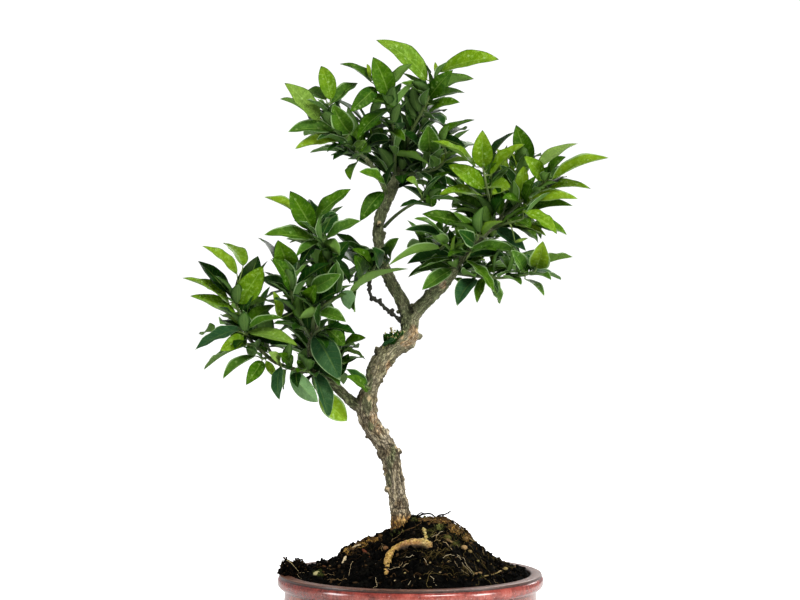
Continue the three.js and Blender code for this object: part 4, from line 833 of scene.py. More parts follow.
fills = {}
crowd = list(placed)
for number, (name, twig) in enumerate(twigs.items()):
    fills[name] = []
    other_stems = [ball for ball in stem_balls if ball["node"] != name]
    for index in range(int(twig.length / FILL_SPACING)):
        seed = FILL_SEED + FILL_SEEDS * number + index
        distance = min(FILL_SPACING * (index + 0.6), twig.length)
        for lean, swing in FILL_TRIES:
            turn = math.radians(GOLDEN_TURN * index + 360 * draw(seed, 2) + swing)
            leaf = fill_leaf(twig, distance, turn, lean, seed)
            if not (in_pad(leaf["tip"], FILL_INSIDE) and in_pad(leaf["base"])):
                continue
            samples = leaf_samples(leaf)
            if nearest(samples[len(samples) // 5:], wood_balls, FILL_CLEAR) < FILL_CLEAR:
                continue
            if nearest(samples, crowd + other_stems, FILL_CLEAR) < FILL_CLEAR:
                continue
            crowd.append(cluster(name, samples, 0, leaf))
            fills[name].append(leaf)
            break
print("small leaves added:", sum(len(leaves) for leaves in fills.values()))

# %% [markdown]
# ## Leaf blades
# A leaf of this orange is a small pointed blade, folded a little along its midrib, with a wavy edge. Each is
# one grid of places along and across the blade: the outline gives the width, the fold lifts the sides, and
# the lower face is the same grid let down by the blade's thickness. Numpy works out a whole spray at once.

# %% Blade grids
ROWS, COLUMNS = 15, 7
FILL_ROWS, FILL_COLUMNS = 9, 5
BLADE_THICKNESS = 0.55
FOLD = 0.38
WAVE = 0.8
CHANNEL = 0.16
STALK_WIDTH = 0.32
# Leaf tones from dark to bright: partly each leaf's own age, partly painted shade on the leaves deep inside
# the pads
TONES = {"d": 0.1, "k": 0.22, "m": 0.46, "p": 0.62, "b": 0.8, "n": 1.0}
# Leaves that look waxy and grey-green in the photo, as rows of their sprays: the grey-green is partly their
# own bloom and partly painted sheen
WAX_AND_SHEEN = {"hem": (0, 2), "lap": (1,), "lapel": (0,), "cuff": (0,), "skirt": (2,), "tail": (0,), "wrist": (0,)}
WAX_AND_SHEEN_SEEDS = [SPRAY_SEEDS * list(SPRAYS).index(name) + k for name, rows in WAX_AND_SHEEN.items() for k in rows]
# Sprays whose leaves have pale margins, partly their own pale rim and partly a painted edge highlight
EDGED = ("palm", "saddle", "hinge", "tail")
EDGED_SEEDS = [SPRAY_SEEDS * list(SPRAYS).index(name) + k for name in EDGED for k in range(SPRAY_SEEDS)]


def blades(leaves, rows, columns):
    """Every blade of a spray as grids, where s runs from 0 to 1 along it and v from -1 to 1 across. Its half
    width goes with s^0.7 * (1-s)^0.93. Its height is the arch, plus a fold that grows with |v| and a wave
    along the edge, less a channel at the midrib. The lower face lies a lens's thickness under the upper."""
    def each(key):
        return np.array([leaf[key] for leaf in leaves])[:, None, None]

    seeds = np.array([[draw(leaf["seed"], k) for k in range(4, 9)] for leaf in leaves]).T[..., None, None]
    t = np.linspace(0, 1, rows)
    s = (0.5 * t + 0.25 * (1 - np.cos(np.pi * t)))[None, :, None]
    v = np.linspace(-1, 1, columns)[None, None, :]
    v = np.sign(v) * np.abs(v) ** 0.85
    length, width = each("length"), each("width")
    half = width / 2 * 3.0 * s**0.7 * np.maximum(1 - s, 0) ** 0.93 + STALK_WIDTH * (1 - s) ** 3 + 0.06
    rise = ARCH * length * 4 * s * (1 - s)
    fold = FOLD * (0.5 + seeds[0]) * half * (np.abs(v) - 0.5)
    ripple = WAVE * (0.3 + seeds[1]) * v**2 * np.sin(2 * np.pi * (s * (1.6 + seeds[2]) + seeds[3] + 0.25 * v))
    channel = -CHANNEL * np.exp(-((v / 0.16) ** 2)) * np.sin(np.pi * s) ** 0.5
    sickle = (seeds[4] - 0.5) * 0.09 * length * 4 * s * (1 - s)
    along = each("tip") - each("base")
    across, face = each("across"), each("face")
    twist = (seeds[2] - 0.5)[..., None] * 0.8 * (s - 0.3)[..., None]
    turned = across + face * twist
    upper = (each("base") + along * s[..., None] + turned * (v * half + sickle)[..., None]
             + face * (rise + fold + (ripple + channel) * np.sin(np.pi * s))[..., None])
    body = BLADE_THICKNESS * (1 - v**2) * np.minimum(1, 6 * (1 - s)) * np.minimum(1, 0.3 + 6 * s)
    lower = (upper - face * body[..., None])[:, 1:-1, 1:-1]

    count = len(leaves)
    top, inside = rows * columns, (rows - 2) * (columns - 2)
    under = np.arange(top).reshape(rows, columns)
    under[1:-1, 1:-1] = top + np.arange(inside).reshape(rows - 2, columns - 2)
    quads = grid_faces(rows, columns)
    one = np.concatenate([quads, under.ravel()[quads][:, ::-1]])
    outwards = np.einsum("nk,nk->n", np.cross(across[:, 0, 0], along[:, 0, 0]), face[:, 0, 0]) > 0
    faces = np.where(outwards[:, None, None], one, one[:, ::-1])
    faces = faces + np.arange(count)[:, None, None] * (top + inside)
    places = np.concatenate([upper.reshape(count, -1, 3), lower.reshape(count, -1, 3)], 1)

    def spread(values):
        values = np.broadcast_to(values, (count, rows, columns))
        inner = values[:, 1:-1, 1:-1]
        return np.concatenate([values.reshape(count, -1), inner.reshape(count, -1)], 1).ravel()

    below = np.concatenate([np.zeros((count, top)), np.ones((count, inside))], 1)
    tone = np.array([TONES[leaf["tone"]] for leaf in leaves])[:, None, None]
    luck = np.where(np.isin(each("seed"), EDGED_SEEDS), 0.66 + 0.31 * seeds[0], 0.97 * seeds[0])
    luck = np.where(np.isin(each("seed"), WAX_AND_SHEEN_SEEDS), 1.0, luck)
    return Shape(places, faces, tone=spread(tone), luck=spread(luck), across=spread(v * 0.5 + 0.5),
                 along=spread(s), below=below.ravel())


def stalks(leaves):
    """Petioles: short tubes from inside the twig to a little way under the blade, thickest at the twig."""
    shapes = []
    for leaf in leaves:
        root, base = leaf["root"], leaf["base"]
        ahead = base + (leaf["tip"] - base) * 0.05 + leaf["face"] * 0.02 * leaf["length"]
        lift = leaf["face"] * 0.12 * np.linalg.norm(base - root)
        run = smooth_rows([root, (root + base) / 2 + lift, base, ahead], 2)
        radii = np.interp(np.linspace(0, 1, len(run)), [0, 0.3, 1], [0.75, 0.5, 0.36])
        shapes.append(tube(run, radii, 6, tone=TONES[leaf["tone"]]))
    return stacked(shapes)


# %% [markdown]
# ## The look of a leaf
# The photo's leaves run from bright yellow-green at the pads' edges to a dark bluish green inside, partly
# their own age and partly painted shade deep in the pads, with a paler midrib, faint side veins and a thin
# pale margin that is partly a painted edge highlight; their undersides are a matt grey-green. The colour
# starts from a number that each leaf carries, and the blade's own map places the midrib and the veins.

# %% Leaf and twig materials
VEINS = 7.5
DROPS_PER_MM = 0.27


def leaf_material():
    kit = Shader("leaf")
    tone, luck, below = (kit.attribute(key) for key in ("tone", "luck", "below"))
    across, along, _ = kit.axes(kit.node("ShaderNodeUVMap", {"uv_map": "blade"}))
    side = abs((across - 0.5) * 2)
    spot = kit.places()
    cloud = kit.noise(spot, 0.2, 4)
    fine = kit.noise(spot, 1.3, 4)
    drop = kit.node("ShaderNodeTexVoronoi", {}, {"Vector": spot, "Scale": DROPS_PER_MM}, "Distance")
    chosen = kit.node("ShaderNodeSeparateColor", {}, {0: kit.other(drop, "Color")}, 0)

    bright = (tone + (luck - 0.5) * 0.28 + (cloud - 0.5) * 0.5 + (along - 0.5) * 0.1).clamped()
    green = kit.ramp(bright, [
        (0.0, 4, 32, 4), (0.2, 19, 56, 6), (0.44, 50, 86, 2), (0.7, 78, 114, 3), (1.0, 122, 150, 30)])
    green = kit.mix(luck.between(0.2, 0.0) * tone.between(0.5, 0.7) * 0.45, green, rgb(138, 160, 92))
    # Painted sheen: some darker leaves turn a cooler blue-green, standing for sky reflected in them
    green = kit.mix(luck.between(0.6, 0.9) * tone.between(0.7, 0.45) * 0.42, green, rgb(40, 78, 40))
    # Painted sheen with the leaves' own bloom: the waxy leaves turn a mottled grey-green
    bloom_and_sheen = (tone.between(0.1, 0.62) * (0.3 + fine) + (fine - 0.5) * 0.9 + (cloud - 0.5) * 0.8).clamped()
    wax_and_sheen_tint = kit.mix(bloom_and_sheen, rgb(30, 62, 36), rgb(108, 142, 106))
    wax_and_sheen = luck.between(0.97, 1.0)
    green = kit.mix(wax_and_sheen * 0.8, green, wax_and_sheen_tint)
    rib = side.between(0.1, 0.02) * (1 - along.between(0.7, 1.0) * 0.8)
    phase = along * VEINS - side * 1.15 + (fine - 0.5) * 0.4
    wave = phase.math("PINGPONG", phase, 0.5) * 2
    vein = wave.between(0.2, 0.0) * side.hump(0.02, 0.2, 0.7, 0.95)
    edged = luck.between(0.6, 0.7) * (1 - wax_and_sheen)
    margin = (side + edged * 0.1).between(0.9, 1.0)
    point = along.between(0.93, 1.0)
    # Painted glints: pale spots on small water drops, which are also raised and glossier
    dew_and_glint = drop.between(0.32, 0.2) * chosen.between(0.6, 0.62) * tone.between(0.3, 0.6)
    film = kit.noise(spot, 0.4, 3).between(0.55, 0.58) * tone.between(0.3, 0.7)
    dew_and_glint, film = dew_and_glint * (1 - below) * (1 - margin), film * (1 - below) * (1 - margin)

    pale = kit.mix(0.5, green, rgb(150, 180, 84))
    green = kit.mix(rib * (0.42 - wax_and_sheen * 0.2), green, pale)
    green = kit.mix(vein * (0.1 + tone * 0.14), green, pale)
    green = kit.mix(fine.between(0.45, 0.75) * 0.25, green, rgb(14, 50, 10))
    green = kit.mix(film * 0.22, green, rgb(140, 178, 84))
    green = kit.mix(dew_and_glint * 0.4, green, rgb(160, 190, 112))
    # The margin is dark on most leaves and pale on the edged ones, where the paleness is partly a painted
    # edge highlight
    margin_tint_and_glint = kit.mix(luck.between(0.6, 0.7) * (0.3 + fine * 0.9).clamped(), rgb(16, 38, 10), rgb(164, 192, 138))
    green = kit.mix(margin.math("MAXIMUM", margin * 0.7, point * 0.8), green, margin_tint_and_glint)
    matt = kit.mix(0.45 - wax_and_sheen * 0.3, green, rgb(112, 146, 78))
    colour = kit.mix(below, green, matt)
    gloss = 0.4 + (fine - 0.5) * 0.2 + below * 0.26 + luck * 0.08 - dew_and_glint * 0.22
    relief = vein * -0.35 + rib * -0.5 + fine * 0.3 + cloud * 0.6 + dew_and_glint * 0.7
    normal = kit.bump(relief, 0.35, 0.8)
    sockets = {"Base_Color": colour, "Roughness": gloss, "Normal": normal}
    return kit.finish(**sockets, Specular_IOR_Level=0.13, Specular_Tint=rgb(200, 228, 150))


def twig_material():
    kit = Shader("green twig")
    tone = kit.attribute("tone")
    streak = kit.noise(kit.places((1, 1, 0.3)), 1.6, 4)
    young = kit.mix(tone.clamped(), rgb(54, 72, 32), rgb(108, 132, 52))
    colour = kit.mix(streak.between(0.5, 0.75) * 0.5, young, rgb(84, 78, 48))
    return kit.finish(Base_Color=colour, Roughness=0.5, Normal=kit.bump(streak, 0.15, 0.6))


leaf_look, twig_look = leaf_material(), twig_material()

# %% [markdown]
# ## Sprays
# Every solid spray is replaced by one piece: the smooth twig, the leaf stalks and the blades. They carry two
# materials in one mesh, because a spray grows, sways and is pruned as one thing. The twig tapers, swells a
# little at even steps and ends in a small pointed bud.

# %% Build the sprays
def spray_twig(name):
    """The twig: a curve through its path, with slight swellings spaced evenly along it."""
    twig = twigs[name]
    run = smooth_rows(twig.places, 7)
    way = way_along(run)
    swell = 0.1 * np.sin(way * 1.1) ** 8
    radii = twig.radius(way / way[-1] * twig.length) + swell
    radii[-1] *= 0.35
    return tube(run, radii, 9, tone=np.linspace(0.0, 0.5, len(run)))


total_leaves = 0
for name in twigs:
    own = [entry["leaf"] for entry in placed if entry["node"] == name]
    fill = fills[name]
    wooden = stacked([spray_twig(name), stalks(own + fill)])
    wooden.look = np.ones(len(wooden.faces), int)
    grids = [blades(own, ROWS, COLUMNS)]
    if fill:
        grids.append(blades(fill, FILL_ROWS, FILL_COLUMNS))
    whole = stacked([*grids, wooden])
    piece(f"leafy_{name}", whole, [leaf_look, twig_look], f"spray_{name}", sharp=60, mapped=True)
    total_leaves += len(own) + len(fill)
print("leaves made:", total_leaves)

# %% [markdown]
# ## Trunk and branches
# Old wood thickens where limbs meet, so separate tubes would look like pipework. Here every limb starts as a
# fluted tube, and a voxel remesh melts the tubes and knots together. The bark is then raised along the
# normals, by noise read round each limb and along it, so that its ridges follow every bend.

# %% Limb tubes and knots
LIMB_STEPS = 8
VOXEL = 0.56
SIDE_COUNT = 28
SOIL_RADIUS, SOIL_EDGE, RIDGE_DEPTH, SLOPE_POWER = 85.6, 70.0, 2.0, 1.25


def limb_tube(bark, rows):
    """A limb: smooth rows, with three and five flutes that wind slowly from row to row."""
    run = smooth_rows(rows, LIMB_STEPS)

    def flute(turn, i):
        row = i / LIMB_STEPS
        return 1 + bark * (np.sin(3 * turn + 0.5 * row) + 0.7 * np.sin(5 * turn - 0.8 * row))

    return tube(seen(*run.T[:3]), run[:, 3] * POINT_SIZE / 2, SIDE_COUNT, flute)


def ball(centre, radii, rings=10, sides=16):
    """Sphere stretched to three radii: rings of equal turn from pole to pole."""
    lift = np.linspace(0, np.pi, rings + 1)[1:-1]
    turn = np.linspace(0, 2 * np.pi, sides, endpoint=False)
    x = np.sin(lift)[:, None] * np.cos(turn)
    y = np.sin(lift)[:, None] * np.sin(turn)
    z = np.broadcast_to(np.cos(lift)[:, None], x.shape)
    places = np.stack([x, y, z], -1).reshape(-1, 3)
    count = len(places)
    faces = [grid_faces(rings - 1, sides, closed=True), fan(count, np.arange(sides)),
             fan(count + 1, count - sides + np.arange(sides)[::-1])]
    places = np.concatenate([places, [[0, 0, 1], [0, 0, -1]]])
    return outward(Shape(places * radii + centre, np.concatenate(faces)))


def soil_height(x, y):
    """Height of the mound: its ridge line across the pot, falling away in front and behind."""
    half_chord = np.sqrt(np.maximum(SOIL_RADIUS**2 - x**2, 1))
    run = np.where(y < RIDGE_DEPTH, half_chord + RIDGE_DEPTH, np.maximum(half_chord - RIDGE_DEPTH, 1))
    share = np.minimum(np.abs(y - RIDGE_DEPTH) / run, 1)
    ridge = np.interp(x, *np.array(RIDGE, float).T)
    return SOIL_EDGE + (ridge - SOIL_EDGE) * (1 - share**SLOPE_POWER)


def on_soil(across, down, lift=0.0):
    """Where sight lines from the front meet the mound, or pass nearest over it."""
    depths = np.arange(-SOIL_RADIUS, SOIL_RADIUS, 0.5)
    across, down, lift = np.broadcast_arrays(across, down, lift)
    way = seen(across[..., None], down[..., None], depths)
    above = way[..., 2] - soil_height(way[..., 0], way[..., 1])
    hit = np.where(above.min(-1) <= 0, np.argmax(above <= 0, axis=-1), np.argmin(above, axis=-1))
    places = np.take_along_axis(way, hit[..., None, None], -2)[..., 0, :]
    places[..., 2] += lift
    return places


def bare_root(rows):
    """The root that lies on the slope: a tube through sight points, lifted off the soil."""
    across, down, lift, thickness = smooth_rows(rows, 5).T
    return tube(on_soil(across, down, lift), thickness / 2, 20)


parts = [limb_tube(bark, rows) for bark, rows in LIMBS.values()]
parts += [bare_root(BARE_STUB), bare_root(BARE_RUN)]
for k, (across, down, depth, size) in enumerate(KNOTS + SPURS):
    radius = size * POINT_SIZE / 2
    parts.append(ball(seen(across, down, depth), np.array([1, 1, 0.8 + 0.5 * draw(3, k)]) * radius))
raw = piece("dressed_wood", stacked(parts), [], "wood")
melt = raw.modifiers.new("melt", "REMESH")
melt.mode, melt.voxel_size = "VOXEL", VOXEL * MM
soften = raw.modifiers.new("soften", "SMOOTH")
soften.factor, soften.iterations = 0.5, 4
wood_mesh = bpy.data.meshes.new_from_object(raw.evaluated_get(bpy.context.evaluated_depsgraph_get()))
raw.modifiers.clear()
raw.data = wood_mesh
print("wood after the remesh:", len(wood_mesh.polygons), "faces")

# %% [markdown]
# ## Bark
# The trunk's bark has long sinews, short cross cracks and sunken scars; the thick root is smoother and tan.
# Marks that were seen at a picture point are painted there as numbers on the mesh, and everything that the
# photo doesn't show is left to the same wandering noise, so the back is as alive as the front.

# %% Raise the bark
# Marks on the wood: across, down, half sizes in points
MARKS = {
    "scar": table("""
    413 335 5.5 11, 406 344 6 4, 374 418 5 8, 379 429 4 6, 395 405 3 12, 388 368 3 9, 443 284 4 5"""),
    "moss": table("392 336 9 9, 398 531 9 3, 408 531 5 3"),
    # Painted light: the lichen marks at 436 296 and 447 285 lighten the right branch, which the right pad
    # shades
    "lichen": table("""
    389 281 4 12, 380 252 4 16, 384 212 4 12, 346 397 9 5, 330 384 9 6, 397 296 3 12, 367 405 5 10,
    369 380 3.5 17, 424 306 8 8, 404 320 6 14, 390 463 4 9, 389 480 3 9, 393 452 3 9, 409 315 3 9,
    371 424 3 6, 436 296 6 6, 447 285 5 6, 352 404 6 4, 338 391 5 4"""),
    "pale": table("""
    378.5 222.5 2.2 2.2, 388 489 1.5 1.5, 402 337 3 3, 369 398 1.5 4, 397.5 446.5 3.5 1.2,
    417 331 1.5 2.5"""),
    # The dark marks are sunk a little and darkened: partly hollows and cracks, partly painted shade below
    # stubs and knobs
    "dark": table("""
    378.5 225.5 2.6 1.2, 401.5 480 1.5 2.5, 400 455 1.6 5, 400 508 7 1, 390 445 5 1.2, 374.5 351 2 5,
    418 342 2 3, 402 448.5 3 1.4, 411 310 3 4, 397 326 2 6, 384 282 3 3"""),
}
RIDGE_WIDTH, RIDGE_RUN = 2.3, 9.0
# The run along the limbs goes on from one to the next with this step between them
LIMB_GAP = 50


def limb_coordinates(places):
    """For each place, on the nearest limb: the unit vector out from its axis in the limb's own frame, the
    run along it, its radius and its number. Nearest means the least distance less the limb's radius."""
    limbs = []
    start = 0.0
    for number, (_, rows) in enumerate(LIMBS.values()):
        smooth = smooth_rows(rows, LIMB_STEPS)
        line = seen(*smooth.T[:3])
        run = start + way_along(line)
        start = run[-1] + LIMB_GAP
        owner = np.full(len(line), number)
        limbs.append((line, *frames_along(line), run, smooth[:, 3] * POINT_SIZE / 2, owner))
    axis, side, other, run, radius, owner = (np.concatenate(part) for part in zip(*limbs))
    best = np.empty(len(places), int)
    for part in np.array_split(np.arange(len(places)), len(places) // 4000 + 1):
        gap = np.linalg.norm(places[part][:, None] - axis[None], axis=2) - radius
        best[part] = gap.argmin(1)
    out = places - axis[best]
    flat = np.stack([(out * side[best]).sum(1), (out * other[best]).sum(1)], -1)
    slide = (out * np.cross(side[best], other[best])).sum(1)
    return unit(flat), run[best] + slide, radius[best], owner[best]


def marks_at(places, kind):
    """How strongly the marks of a kind cover places, by where the places show to the eye."""
    return cover(point_of(places) + 1.5 * wander(places, 2.2, 5), MARKS[kind], 0.5, 1.25)


count = len(wood_mesh.vertices)
spots, normals = np.empty(count * 3, np.float32), np.empty(count * 3, np.float32)
wood_mesh.vertices.foreach_get("co", spots)
wood_mesh.vertices.foreach_get("normal", normals)
places = (spots.reshape(-1, 3).astype(float) - POT_AXIS) / MM
normals = normals.reshape(-1, 3).astype(float)
round_limb, run, limb_radius, limb_number = limb_coordinates(places)
dead = np.where(limb_number == list(LIMBS).index("knobbyTwig"), 1.0, 0.0)
rootness = eased(-places[:, 1], 9, 15) * (1 - eased(places[:, 2], 110, 114))
girth = np.clip(limb_radius, 1.5, 7)[:, None]
sinew = np.concatenate([round_limb * girth / RIDGE_WIDTH, (run / RIDGE_RUN)[:, None]], 1)
cracks = np.concatenate([round_limb * girth / 3.2, (run / 1.5)[:, None]], 1)
bend = 0.6 * wander(places, 5, 21, axes=3)
ridges = 1 - 2 * np.abs(noise(sinew + bend, 1)) ** 0.8
ridges = 0.65 * ridges + 0.35 * (1 - 2 * np.abs(noise(2.1 * sinew + bend, 2)))
crossing = noise(cracks, 3)
lumps = layers(places / 6, 2, 4)
rough = layers(places / 1.1, 2, 8)
scar, moss, lichen, pale, dark = (marks_at(places, kind) for kind in MARKS)
strength = np.clip(limb_radius / 6.5, 0.25, 1) * (1 - 0.6 * rootness) * (1 - 0.3 * scar) * (1 - 0.8 * pale)
broad = np.clip(limb_radius / 6.5, 0.2, 1)
height = strength * (0.72 * ridges + 0.36 * crossing + 0.3 * rough) + 0.45 * lumps * broad
height += dead * (0.35 * rough + 0.3 * noise(places / 1.6, 12))
height += 0.4 * moss * (0.5 + rough) - 0.15 * scar - 0.5 * dark - 0.15
knobbly = 0.3 * np.abs(noise(cracks * 0.4, 9)) + 0.45 * noise(places / 2.2, 13)
height += rootness * (0.25 * rough + knobbly - 0.1)
foot = (1 - eased(places[:, 2], 108, 121)) * (1 - rootness)
# Painted shade: the root darkens where its surface faces down
soiled = rootness * eased(-normals[:, 2], -0.5, 0.35)
from_eye = point_of(places) + 2.5 * wander(places, 1.8, 14)
shoot = rootness * eased(from_eye[:, 0], 418, 424) * (1 - eased(from_eye[:, 1], 537, 549))
# Painted highlight on the root's upward faces, together with its own ochre at the left end
gilded = rootness * np.maximum(1 - eased(from_eye[:, 0], 391, 402), eased(normals[:, 2], 0.45, 0.85))
places = places + normals * height[:, None]
wood_mesh.vertices.foreach_set("co", (places * MM + POT_AXIS).astype(np.float32).ravel())
marks = {"relief": np.clip(0.5 + 0.5 * ridges + 0.25 * crossing, 0, 1), "scar": scar, "moss": moss,
         "lichen": lichen, "pale": pale, "dark": dark, "dead": dead, "root": rootness, "foot": foot,
         "soiled": soiled, "shoot": shoot, "gilded": gilded,
         "thin": 1 - np.clip((limb_radius - 2) / 4, 0, 1),
         "height": np.clip((places[:, 2] - 110) / 230, 0, 1),
         "round_x": round_limb[:, 0] * girth[:, 0], "round_y": round_limb[:, 1] * girth[:, 0], "run": run}
for key, numbers in marks.items():
    wood_mesh.attributes.new(key, "FLOAT", "POINT").data.foreach_set("value", numbers.astype(np.float32))
wood_mesh.polygons.foreach_set("use_smooth", np.ones(len(wood_mesh.polygons), bool))


def bark_material():
    kit = Shader("bark")
    (relief, scar, moss, lichen, pale, dark, dead, root, foot, soiled, shoot, gilded, thin, height, round_x,
     round_y, run) = (kit.attribute(key) for key in marks)
    spot = kit.places()
    limb = kit.node("ShaderNodeCombineXYZ", {}, {0: round_x, 1: round_y, 2: run * 0.32})
    grain = kit.noise(limb, 1.1, 5, 0.65)
    plates = kit.noise(limb, 0.42, 4, 0.6)
    blot = kit.noise(spot, 0.1, 3)
    speck = kit.noise(spot, 2.2, 5, 0.65)
    crack = 1 - abs((plates - 0.5) * 2).between(0.03, 0.18)
    split = 1 - abs((grain - 0.5) * 2).between(0.0, 0.15)
    solid = 1 - root
    deep = (crack * 0.9 + split * 0.65).clamped() * solid * (1 - pale * 0.8)

    # The ramp follows the relief, so the crevices are darker and the ridges lighter: the bark's own colour
    # with painted shade in the crevices
    shade = (relief * 0.75 + grain * 1.1 + (speck - 0.5) * 0.8 - 0.41).clamped()
    bark = kit.ramp(shade, [
        (0.0, 34, 28, 18), (0.22, 100, 87, 60), (0.45, 166, 153, 122),
        (0.72, 204, 188, 156), (1.0, 240, 226, 198)])
    rosy = kit.ramp(shade, [(0.0, 44, 30, 18), (0.5, 156, 126, 92), (1.0, 224, 196, 162)])
    bark = kit.mix(blot.between(0.5, 0.62) * 0.7, bark, rosy)
    olive = kit.ramp(shade, [(0.0, 28, 34, 16), (0.5, 104, 116, 72), (1.0, 176, 184, 134)])
    greening = height * 0.9 + lichen * 0.75 + (blot - 0.5) * 1.2 + (plates - 0.5) * 0.8 - 0.12
    colour = kit.mix(greening.clamped() * 0.85, bark, olive)
    colour = kit.mix(thin * 0.8, colour, kit.mix(grain, rgb(72, 92, 44), rgb(146, 160, 104)))
    # Painted light: the upper limbs, shaded by the crown, are lightened towards a pale grey-green with height
    upper = kit.mix(speck, rgb(104, 128, 78), rgb(184, 188, 148))
    colour = kit.mix(height.between(0.3, 0.7) * 0.4, colour, upper)
    grey = kit.ramp(speck, [(0.3, 10, 11, 9), (0.5, 42, 44, 38), (0.7, 100, 104, 92)])
    colour = kit.mix(dead * 0.95, colour, grey)
    amber = kit.ramp(shade, [(0.1, 66, 32, 4), (0.5, 188, 118, 30), (0.9, 248, 194, 84)])
    colour = kit.mix((foot + (grain - 0.5) * 2.0).clamped() * foot * 0.9, colour, amber)
    tan = kit.ramp(shade, [(0.1, 104, 66, 34), (0.45, 188, 150, 104), (0.8, 240, 216, 178)])
    colour = kit.mix((scar * 1.1 + (plates - 0.6)).clamped() * scar * 0.85, colour, tan)
    skin = kit.noise(spot, 0.8, 6, 0.72)
    stain = kit.noise(spot, 0.42, 3)
    rooty = kit.ramp(skin * 0.7 + speck * 0.3, [
        (0.36, 44, 24, 8), (0.45, 112, 72, 30), (0.53, 166, 120, 68), (0.62, 222, 186, 126)])
    rooty = kit.mix(stain.between(0.5, 0.6) * 0.3, rooty, rgb(190, 136, 96))
    rooty = kit.mix(stain.between(0.48, 0.4) * 0.6, rooty, rgb(140, 96, 30))
    # Painted shade on the root's underside
    rooty = kit.mix((soiled * (0.6 + skin * 0.8)).clamped(), rooty, rgb(40, 24, 8))
    sappy = kit.ramp(skin, [(0.36, 52, 60, 20), (0.48, 136, 138, 64), (0.6, 222, 210, 142)])
    rooty = kit.mix(shoot * 0.8, rooty, sappy)
    # Golden colour: painted highlight on top, the root's own ochre at its left end
    ochre_glint_ramp = kit.ramp(skin, [(0.38, 92, 62, 14), (0.5, 170, 134, 50), (0.62, 222, 196, 110)])
    rooty = kit.mix(gilded * stain.between(0.6, 0.52) * 0.75, rooty, ochre_glint_ramp)
    colour = kit.mix(root * 0.95, colour, rooty)
    mossy = kit.ramp(speck, [(0.3, 28, 36, 12), (0.55, 74, 86, 30), (0.8, 128, 136, 60)])
    colour = kit.mix((moss * 1.2 + (speck - 0.5)).clamped() * moss, colour, mossy)
    colour = kit.mix(pale * 0.7, colour, rgb(206, 178, 138))
    # Painted shade in the cracks over the inner bark's own dark; weaker up the leader, which lightens it
    colour = kit.mix(deep * (0.92 - height * 0.3), colour, rgb(24, 18, 11))
    # Painted shade below stubs and knobs, together with the dark marks' hollows
    colour = kit.mix(dark * 0.75, colour, rgb(26, 20, 14))
    normal = kit.bump(grain + speck * 0.9 - deep * 0.9 + skin * root * 1.2, 0.65, 1.0)
    return kit.finish(Base_Color=colour, Roughness=0.82 - root * 0.14, Normal=normal,
                      Specular_IOR_Level=0.25)


wood_mesh.materials.append(bark_material())
print("bark height, mm:", height.min().round(2), "to", height.max().round(2))

# %% [markdown]
# ## The mound of soil
# A single bumpy sheet reads as mud, so there are three sizes of form: the mound itself, clods raised on it by
# noise, and loose crumbs, bark bits and pebbles on top. The sheet is a polar grid, rings by spokes, closed
# under the soil like the solid it stands for.

# %% Soil surface
NET_TOP = 11.8
SOIL_UNDER = [
    (17.3, NET_TOP), (18, 10.3), (59.5, 10.3), (67.5, 12.1), (76.4, 22.4), (81.5, 36), (84.1, 52), (85.3, 66),
]
SOIL_RINGS, SOIL_SPOKES, SOIL_BRIM = 150, 380, 85.4
# Clods: their size and depth in mm, and a seed
CLODS = [(8.0, 2.4, 31), (3.4, 1.5, 41), (1.3, 0.7, 51)]
# Stains on the mound, given in the same way as the marks on the wood
SOIL_STAINS = {
    "tan": table("""
    456 529 10 5, 431 520 17 3, 447 521 9 3, 466 537 6 4, 348 550 8 4, 360 544 9 3.5, 374 538 9 4"""),
    "green": table("""
    441 527 8 4, 450 538 6 3, 457 544 4 3, 317 573 6 3, 420 519 12 3, 478 575 6 3, 396 533 7 3,
    430 533 5 5"""),
}


def stain(places, kind):
    """How strongly the stains of a kind cover the front of the mound."""
    spread = cover(point_of(places) + 3 * wander(places, 4, 61), SOIL_STAINS[kind], 0.3, 1.2)
    return spread * eased(-places[..., 1], -6, 2)


def clod_height(flat):
    """Noise at three sizes, calmer beside the wall of the pot."""
    crest = np.exp(-(((flat[..., 0] - 22) / 24) ** 2) - (flat[..., 1] / 18) ** 2)
    calm = (1 - 0.75 * eased(np.linalg.norm(flat, axis=-1), 74, 85)) * (1 - 0.65 * crest)
    flat = np.concatenate([flat, np.zeros((*flat.shape[:-1], 1))], -1)
    return calm * sum(depth * np.abs(noise(flat / size, seed)) * 1.6 - 0.55 * depth
                      for size, depth, seed in CLODS)


def ground(x, y):
    """Places on top of the soil."""
    flat = np.stack([x, y], -1)
    return np.concatenate([flat, (soil_height(x, y) + clod_height(flat))[..., None]], -1)


turn = np.linspace(0, 2 * np.pi, SOIL_SPOKES, endpoint=False)
rings = [np.stack([r * np.cos(turn), r * np.sin(turn), np.full(SOIL_SPOKES, z)], -1) for r, z in SOIL_UNDER]
for share in np.linspace(1, 0.004, SOIL_RINGS):
    rings.append(ground(share * SOIL_BRIM * np.cos(turn), share * SOIL_BRIM * np.sin(turn)))
places = np.concatenate([*rings, [[0, 0, NET_TOP], ground(np.array(0.0), np.array(0.0))]])
last = len(places) - 2
spokes = np.arange(SOIL_SPOKES)
faces = np.concatenate([grid_faces(len(rings), SOIL_SPOKES, closed=True), fan(last, spokes[::-1]),
                        fan(last + 1, last - SOIL_SPOKES + spokes)])
flat_depth = np.append((places[:-2, 2] > 60) * clod_height(places[:-2, :2]), [0, 0])
soil_sheet = outward(Shape(places, faces, tan=stain(places, "tan"), green=stain(places, "green"),
                           relief=np.clip(0.5 + 0.3 * flat_depth, 0, 1)))


